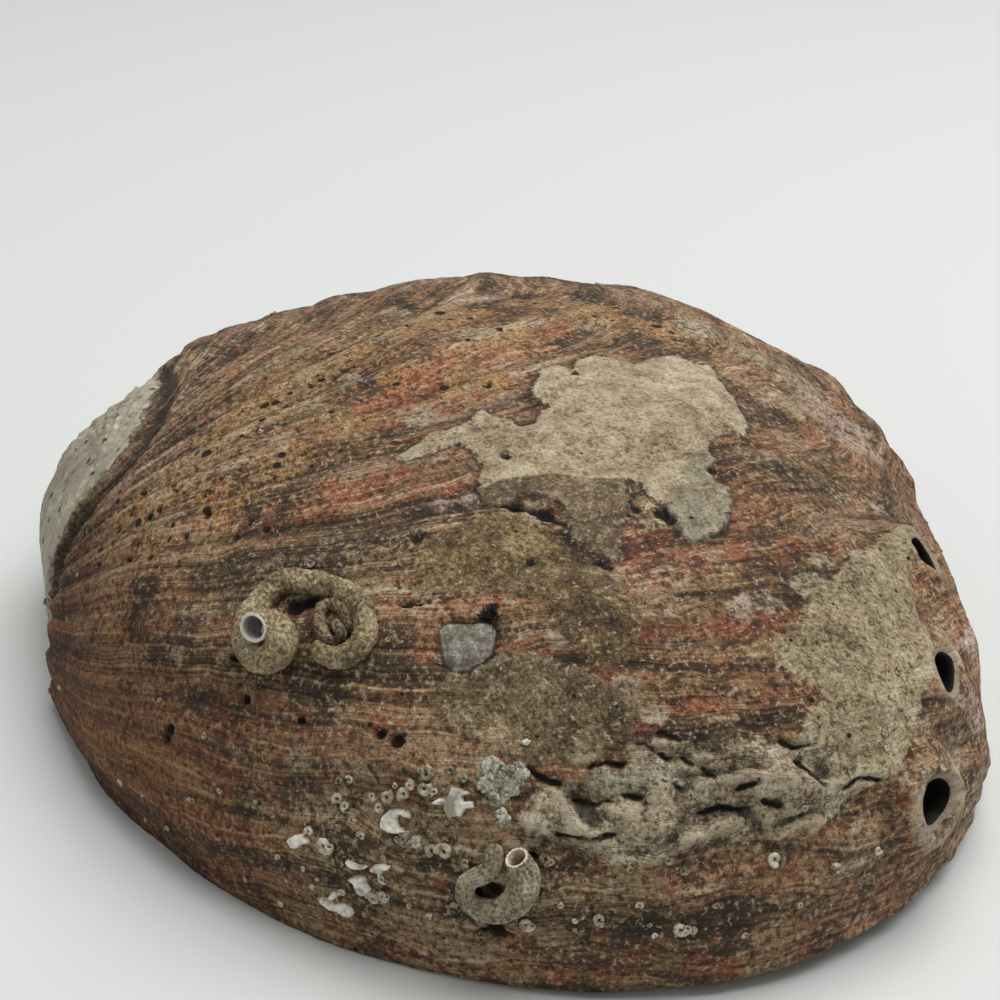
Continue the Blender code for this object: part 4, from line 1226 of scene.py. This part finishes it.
# %% Finishes of the tubes, chips and beads
def grainy_lime(name, outer, inner, grain, bump_share):
    """Rough lime in two grains, with a smooth bore where the mesh says so, painted darker inwards as shade.
    """
    finish, tree = new_finish(name)
    place = add(tree, "TexCoord").outputs["Object"]
    shade, bore = (
        add(tree, "Attribute", {"attribute_name": name}).outputs["Fac"] for name in ("shade", "bore")
    )
    fine, broad = (
        add(tree, "TexNoise", {}, {
            "Vector": place, "Scale": 1000 / size, "Detail": detail, "Roughness": roughness,
        })
        for size, detail, roughness in ((grain, 4.0, 0.6), (grain * 7, 5.0, 0.7))
    )
    tone = summed(tree, (broad, 0.45), (fine, 0.55), (shade, 0.14))
    tone = add(tree, "MapRange", {}, {"Value": tone, "From Min": 0.40, "From Max": 0.74})
    look = add(tree, "ValToRGB", {"stops": outer}, {"Fac": tone})
    lip = mask_of(tree, bore, 0.1, 0.6)
    # Deeper in the bore the colour darkens as painted shade.
    depth = add(tree, "MapRange", {}, {"Value": bore, "From Min": 1.0, "From Max": 2.0})
    look = coat(tree, look, lip, inner, depth)
    rough = add(tree, "MapRange", {}, {"Value": lip, "To Min": 0.85, "To Max": 0.45})
    height = add(tree, "Math", MULTIPLY, {0: tone, 1: 0.30})
    bump = add(tree, "Bump", {}, {"Strength": bump_share, "Distance": 1 * MM, "Height": height})
    end_finish(tree, {"Base Color": look, "Roughness": rough, "Normal": bump, "IOR": 1.52})
    return finish


LIME_PLACES, BORE_PLACES = (0.05, 0.3, 0.52, 0.72, 0.95), (0.0, 0.25, 0.6, 1.0)
OLIVE_LIME = tints("#241a10 #5f5036 #8d7b58 #ac9c78 #d5caac", LIME_PLACES)
GREY_TAN_LIME = tints("#33291c #74674f #a0937a #bbb098 #ddd5c1", LIME_PLACES)
CREAM_LIME = tints("#4a3f2e #8b7f68 #b0a58c #c9c0a9 #e2dccb", LIME_PLACES)
BONE_LIME = tints("#9a907f #d2cbbd #e9e4d9 #f3efe6 #faf8f3", LIME_PLACES)
BLUE_LIME = tints("#4f4735 #948d79 #b9b5a5 #d0cdc0 #e8e6dc", LIME_PLACES)
# Colours of a bore from the mouth inwards, darkening as painted shade.
UPPER_BORE = tints("#d8d3c6 #b0aa9b #7b7262 #40362a", BORE_PLACES)
FRONT_BORE = tints("#ead8c4 #cbb499 #86684a #3a2a1c", BORE_PLACES)
DARK_BORE = tints("#b8ab92 #4b3f2f #1f170f", (0.0, 0.3, 1.0))
upper_lime = grainy_lime("olive_worm_tube_lime", OLIVE_LIME, UPPER_BORE, 0.5, 1.0)
front_lime = grainy_lime("ridged_worm_tube_lime", GREY_TAN_LIME, FRONT_BORE, 0.45, 1.0)
coil_lime = grainy_lime("cream_tiny_tube_lime", CREAM_LIME, DARK_BORE, 0.5, 0.8)
chip_lime = grainy_lime("bone_white_chip_lime", BONE_LIME, UPPER_BORE, 1.2, 0.6)
bead_lime = grainy_lime("blue_grey_bead_lime", BLUE_LIME, UPPER_BORE, 0.4, 0.6)
weed, tree = new_finish("dry_dark_weed")
end_finish(tree, {"Base Color": colour("#171311"), "Roughness": 0.7})

# %% Upper worm tube
# Each row is a photo place, the rise of the tube's centre over the shell and its radius, both in mm.
UPPER_TUBE = (
    (318.3, 640.7, 0.4, 1.00), (321.8, 651, 0.6, 1.25), (333.3, 657.3, 0.8, 1.40), (347, 655, 0.9, 1.45),
    (359.7, 645.4, 0.9, 1.45), (365.4, 631.7, 0.9, 1.45), (364.3, 616.6, 0.9, 1.45),
    (357.9, 602.2, 0.9, 1.45), (345, 591.5, 0.9, 1.45), (327.5, 585, 0.9, 1.50), (309, 582, 0.9, 1.55),
    (292, 581, 0.9, 1.6), (279.5, 585.5, 0.9, 1.65), (267, 596, 1.0, 1.7), (256, 608, 1.0, 1.75),
    (248.5, 622, 1.1, 1.85), (247.5, 638, 1.2, 1.95), (252.5, 651, 1.6, 2.0), (264, 658, 2.2, 2.0),
    (277, 653, 2.8, 2.0), (282, 641, 3.1, 2.0), (278, 630, 3.4, 1.95), (268.5, 624, 3.8, 1.85),
    (260, 624.5, 4.4, 1.85), (253.5, 627.5, 5.6, 1.9),
)
INNER_WHORL = (
    (350.5, 633.8, 0.5, 0.75), (349.3, 621.2, 0.6, 0.8), (343.6, 609.7, 0.7, 0.8), (333.3, 604, 0.7, 0.8),
    (322.9, 607.4, 0.8, 0.85), (318.3, 618.9, 0.8, 0.85), (321.8, 630.4, 0.8, 0.85),
    (327.5, 639.6, 0.8, 0.8), (336.7, 640.7, 0.9, 0.75), (341, 632.7, 1.1, 0.75), (336, 624, 1.3, 0.7),
)


def granular(points, run, turn):
    rings = 0.03 * np.cos(run / (0.85 * MM) * 2 * math.pi + 2 * noise_at(points, 2 * MM))
    grains = 0.12 * noise_at(points, 0.55 * MM) + 0.06 * noise_at(points, 0.3 * MM)
    return MM * (0.16 * noise_at(points, 2.4 * MM) + grains + rings)


upper_tube = bmesh.new()
sweep(upper_tube, knots_on_shell(UPPER_TUBE), 0.45 * MM, 4.5 * MM, 0.10 * MM, 84, 8, granular)
sweep(upper_tube, knots_on_shell(INNER_WHORL), 0.30 * MM, 1.5 * MM, 0.12 * MM, 48, 5, granular, 0.1)
new_piece("worm_tube_upper_skin", upper_tube, upper_lime, "worm_tube_upper")

# %% Front worm tube
FRONT_TUBE = (
    (499, 845, 0.7, 0.85), (494.5, 853, 0.8, 1.0), (493, 862, 0.8, 1.05), (490, 869, 0.8, 1.05),
    (483, 874.5, 0.8, 1.05), (474.5, 877.5, 0.9, 1.05), (467.5, 883, 0.9, 1.1), (465, 892.5, 0.9, 1.1),
    (469.5, 902, 0.9, 1.15), (480, 909, 1.0, 1.25), (493, 911.5, 1.1, 1.35), (505, 909, 1.2, 1.5),
    (515.5, 901.5, 1.3, 1.7), (523, 890, 1.4, 1.8), (525.5, 878, 1.7, 1.7), (522.5, 867.5, 2.4, 1.5),
    (516.5, 858, 3.3, 1.38),
)
RIDGES_ROUND = 17


def ridged(points, run, turn):
    ridges = 0.085 * np.cos(RIDGES_ROUND * turn + 1.2 * noise_at(points, 2 * MM))
    beads = 0.03 * np.cos(run / (0.5 * MM) * 2 * math.pi + 3 * noise_at(points, 1 * MM))
    return MM * (ridges + beads + 0.07 * noise_at(points, 0.35 * MM) + 0.10 * noise_at(points, 2 * MM))


front_tube = bmesh.new()
sweep(front_tube, knots_on_shell(FRONT_TUBE), 0.28 * MM, 4.0 * MM, 0.10 * MM, 136, 8, ridged)
new_piece("worm_tube_front_skin", front_tube, front_lime, "worm_tube_front")

# %% [markdown]
# The tiny coils are worms too, each a tube of a turn or so that lies flat. They crowd the lower front, and
# sparser ones are strewn over the hidden sides. Few faces are enough for each, because it is a millimetre
# wide.

# %% Tiny coiled tubes
# A photo place and the width of the coil in pixels.
COILS = (
    (427, 774, 14), (450, 771, 8), (464, 779, 9), (425, 788, 14), (435, 792, 8), (410, 785, 10),
    (405, 794, 13), (388, 796, 14), (373, 796, 9), (380, 807, 10), (339, 799, 12), (346, 806, 10),
    (350, 780, 8), (340, 781, 8), (409, 815, 9), (310, 831, 10), (339, 828, 7), (362, 836, 9),
    (326, 844, 18), (279, 857, 7), (255, 804, 9), (273, 814, 7), (413, 844, 9), (403, 840, 8),
    (433, 849, 13), (445, 851, 16), (466, 862, 9), (501, 813, 11), (502, 821, 9), (546, 858, 13),
    (551, 862, 8), (374, 897, 14), (384, 895, 12), (383, 878, 10), (343, 892, 8), (337, 898, 9),
    (774, 858, 14), (834, 869, 13), (680, 927, 16), (684, 870, 9), (668, 860, 9), (692, 930, 9),
    (600, 918, 13), (527, 923, 14), (311, 566, 12), (304, 868, 6), (313, 886, 6), (297, 890, 6),
    (318, 879, 5), (287, 880, 5), (420, 770, 6), (395, 786, 6), (358, 812, 5), (300, 845, 5), (352, 866, 5),
    (640, 905, 8), (715, 905, 7), (740, 880, 7), (655, 935, 6), (560, 905, 7), (585, 880, 6), (455, 905, 7),
    (430, 915, 6), (410, 905, 6), (745, 935, 7), (800, 905, 7), (350, 640, 6), (388, 640, 7), (205, 735, 8),
    (160, 700, 7), (220, 790, 7), (190, 800, 6), (235, 830, 7), (630, 870, 7), (610, 890, 6), (575, 920, 6),
    (503, 875, 4),
)
COIL_KNOTS = 12
# Pixels that a millimetre takes up below the front edge's row, and above it, and the coil's share of its
# mark.
FRONT_ROW, FRONT_SCALE, UPPER_SCALE, COIL_SHARE = 740, 6.8, 7.6, 1.1
STREWN, STREWN_LOW, STREWN_HIGH, SEEN_FROM, SEEN_TO, SEEN_UP = 150, 26.0, 60, 270, 350, 12
chance = np.random.default_rng(11)


def tiny_coil(bm, place, way_out, half, sides, shade):
    along = np.cross(way_out, (0.31, 0.17, 0.93))
    along /= np.linalg.norm(along)
    across = np.cross(way_out, along)
    turns, start = chance.uniform(1.0, 1.5), chance.uniform(0, 2 * math.pi)
    share = np.linspace(0, 1, COIL_KNOTS)[:, None]
    swing = start + share * turns * 2 * math.pi
    reach = half * (0.22 + 0.44 * share)
    rise = half * (0.30 - 0.14 * share + 0.25 * share ** 6)
    centre = place + along * reach * np.cos(swing) + across * reach * np.sin(swing) + way_out * rise
    knots = np.hstack([centre, np.tile(way_out, (COIL_KNOTS, 1)), half * (0.20 + 0.16 * share)])
    sweep(bm, knots, half * 0.14, half * 0.6, half * 0.3, sides, 2, None, shade)


coils = bmesh.new()
for x, y, width in COILS:
    half = width / (FRONT_SCALE if y > FRONT_ROW else UPPER_SCALE) / 2 * MM * COIL_SHARE
    tiny_coil(coils, *on_shell(x, y), half, 8 if width > 9 else 6, chance.uniform(0, 1))
for _ in range(STREWN):
    angle = chance.uniform(0, 360)
    up = chance.uniform(2, STREWN_LOW) if chance.random() < 0.8 else chance.uniform(STREWN_LOW, STREWN_HIGH)
    if SEEN_FROM < angle < SEEN_TO and up > SEEN_UP:
        continue
    tiny_coil(coils, *on_side(angle, up), chance.uniform(0.25, 0.75) * MM, 5, chance.uniform(0, 0.8))
new_piece("tiny_worm_tubes", coils, coil_lime)

# %% [markdown]
# White chips are scraps of an old lime crust that has flaked off. Each starts as a fine grid over its
# outline, is cut to the outline, and swells from its edge like a drop, which gives thin feathered edges.

# %% White chips
# Each outline is corner points in the photo, and the chip's sizes in its plane are pixels too.
CHIPS = (
    (
        (429, 803.5), (439, 798), (446, 799), (452, 786.7), (459, 787.7), (468.6, 791), (470.6, 794),
        (463.5, 796), (464.5, 801), (473.7, 801), (474.7, 808), (466.5, 809), (461.4, 817.3),
        (456.3, 816.3), (448, 817.3), (445, 811), (444, 805), (434, 804.7),
    ),
    (
        (380.8, 821.4), (382.9, 815.3), (390, 809.2), (398, 807.8), (404.3, 809.2), (409.4, 811.2),
        (412.5, 815.3), (410.4, 818.4), (404.3, 816.3), (400.2, 814.3), (398.2, 818.4), (400.2, 825.5),
        (406.3, 831.6), (399, 833.7), (390, 832.7), (380.8, 827.5),
    ),
    (
        (287.3, 839.8), (291, 836.7), (295, 834.7), (303.3, 833.7), (309.4, 839.8), (310.4, 842.9),
        (303.3, 843.9), (298, 848), (292, 847), (290, 842.9),
    ),
    (
        (346, 860.2), (349.2, 858.2), (354.3, 861.8), (360.4, 864.3), (367.5, 864.3), (368.6, 866.7),
        (362.4, 868.4), (356.3, 869), (350.2, 866.3),
    ),
    (
        (370.6, 868.4), (374.7, 864.3), (382.9, 862.9), (390.6, 865.3), (390.6, 869.4), (382.9, 870.4),
        (382.9, 876.5), (379.8, 877), (377.8, 872.4), (371.6, 870.8),
    ),
    (
        (348.2, 878.2), (354.3, 874.5), (362.4, 873.5), (366, 877.6), (367.6, 883.7), (372.7, 888.8),
        (370.6, 892.9), (363.5, 894.9), (357.3, 891.8), (354.3, 882.7),
    ),
    (
        (317.6, 898), (321.6, 897), (327.8, 897.3), (336, 901), (346, 903), (353.3, 908.2), (355.3, 913.3),
        (351.2, 916.3), (346, 914.3), (338, 910.2), (329.8, 908.2), (326.7, 905), (320.6, 900),
    ),
    (
        (330, 893), (334, 891), (338, 893), (339, 897), (334, 899), (330, 897),
    ),
    (
        (521, 741), (527, 738), (532, 742), (528, 746), (522, 745),
    ),
)
CHIP_THICK, CHIP_SUNK, CHIP_WALL = 0.85 * MM, 0.12 * MM, 0.35 * MM
CHIP_EDGE, CHIP_GRID, CHIP_PAST = 2.4, 0.45, -0.2
chips = bmesh.new()
for chip in CHIPS:
    outline_px = np.array(chip)
    low, high = outline_px.min(0), outline_px.max(0)
    cells = np.ceil((high - low) / CHIP_GRID).astype(int)
    verts = bmesh.ops.create_grid(chips, x_segments=int(cells[0]), y_segments=int(cells[1]), size=1)["verts"]
    pixels = low + (np.array([vertex.co[:2] for vertex in verts]) + 1) / 2 * (high - low)
    depth = inside_patch(pixels, outline_px) + 0.5 * noise_at(np.c_[pixels, pixels[:, 0] * 0], 2.0)
    kept = [vertex for vertex, deep in zip(verts, depth) if deep >= CHIP_PAST]
    outside_chip = [vertex for vertex, deep in zip(verts, depth) if deep < CHIP_PAST]
    for vertex, (x, y), deep in zip(verts, pixels, depth):
        if deep >= CHIP_PAST:
            point, way_out = on_shell(x, y)
            swell = CHIP_THICK * (1 - (1 - min(max(deep, 0) / CHIP_EDGE, 1)) ** 2) - CHIP_SUNK
            vertex.co = point + way_out * (swell + 0.10 * MM * noise.noise(Vector(point) / (0.9 * MM)))
    bmesh.ops.delete(chips, geom=outside_chip, context="VERTS")
    loose = [vertex for vertex in kept if not vertex.link_faces]
    bmesh.ops.delete(chips, geom=loose, context="VERTS")
bmesh.ops.recalc_face_normals(chips, faces=chips.faces[:])
bmesh.ops.solidify(chips, geom=chips.faces[:], thickness=CHIP_WALL)
new_piece("white_chips", chips, chip_lime)

# %% [markdown]
# The grey beads are a crowd of young barnacles, so they are small balls at random places, flattened a
# little. The weed is a tuft of thin dry blades, which lean every way.

# %% Beads and a tuft of weed
# A photo place with the reach of its crowd in pixels, and how many balls it has.
BEADS = (
    ((493, 768, 10), 44), ((509, 781, 13), 70), ((499, 795, 9), 30), ((521, 771, 6), 14), ((487, 786, 6), 14),
    ((502, 817, 6), 8), ((403, 838, 8), 10), ((417, 843, 5), 6),
)


def little_ball(bm, place, way_out, half, level):
    turned = Vector(way_out).to_track_quat("Z", "Y").to_matrix().to_4x4()
    verts = bmesh.ops.create_icosphere(bm, subdivisions=level, radius=half)["verts"]
    for vertex in verts:
        vertex.co *= 1 + 0.35 * noise.noise(vertex.co / half * 1.3 + Vector(place) / MM)
        vertex.co.z *= 0.7
    bmesh.ops.transform(bm, matrix=Matrix.Translation(place) @ turned, verts=verts)


beads = bmesh.new()
for (x, y, reach), count in BEADS:
    for _ in range(count):
        turn, away = chance.uniform(0, 2 * math.pi), reach * math.sqrt(chance.random())
        place, way_out = on_shell(x + away * math.cos(turn), y + away * math.sin(turn), 0.1 * MM)
        little_ball(beads, place, way_out, chance.uniform(0.25, 0.6) * MM, 2)
new_piece("grey_beads", beads, bead_lime)

TUFT_AT, BLADES, BLADE_FOOT, BLADE_TIP = (490, 617), 34, 0.11 * MM, 0.02 * MM
tuft = bmesh.new()
for _ in range(BLADES):
    foot, way_out = on_shell(TUFT_AT[0] + chance.normal(0, 5), TUFT_AT[1] + chance.normal(0, 2.5))
    lean = Vector(way_out) + Vector(chance.normal(0, 0.55, 3))
    turned = lean.to_track_quat("Z", "Y").to_matrix().to_4x4()
    long = chance.uniform(0.8, 2.2) * MM
    blade = bmesh.ops.create_cone(
        tuft, segments=5, radius1=BLADE_FOOT, radius2=BLADE_TIP, depth=long, cap_ends=True
    )["verts"]
    standing = Matrix.Translation(foot) @ turned @ Matrix.Translation((0, 0, long / 2))
    bmesh.ops.transform(tuft, matrix=standing, verts=blade)
new_piece("dark_weed_tuft", tuft, weed)

# %% [markdown]
# The shell lies on a pale matt table in a room with soft light. One wide lamp overhead and slightly in
# front gives the gentle shadow under the lip, and the pale world fills the rest.

# %% Table, light and world
floor_mesh = bpy.data.meshes.new("table")
floor_bm = bmesh.new()
bmesh.ops.create_grid(floor_bm, x_segments=1, y_segments=1, size=3.0)
floor_bm.to_mesh(floor_mesh)
floor_bm.free()
table = bpy.data.objects.new("table", floor_mesh)
bpy.context.scene.collection.objects.link(table)
matt_white, tree = new_finish("matt_white_table")
end_finish(tree, {"Base Color": colour("#d3d5d2"), "Roughness": 0.7})
floor_mesh.materials.append(matt_white)

world = bpy.data.worlds.new("pale_room")
bpy.context.scene.world = world
world.use_nodes = True
world.node_tree.nodes["Background"].inputs["Color"].default_value = colour("#e8ebec")
world.node_tree.nodes["Background"].inputs["Strength"].default_value = 0.38


def soft_lamp(name, place, aim, size, watts):
    lamp = bpy.data.lights.new(name, "AREA")
    lamp.size, lamp.energy = size, watts
    holder = bpy.data.objects.new(name, lamp)
    holder.location = place
    holder.rotation_euler = (Vector(aim) - Vector(place)).to_track_quat("-Z", "Y").to_euler()
    bpy.context.scene.collection.objects.link(holder)


soft_lamp("ceiling_window", (0.06, 0.36, 1.18), (0, 0, 0), 1.15, 17.5)
soft_lamp("front_fill", (0.5, -0.9, 0.7), (0, 0, 0), 0.9, 1.2)
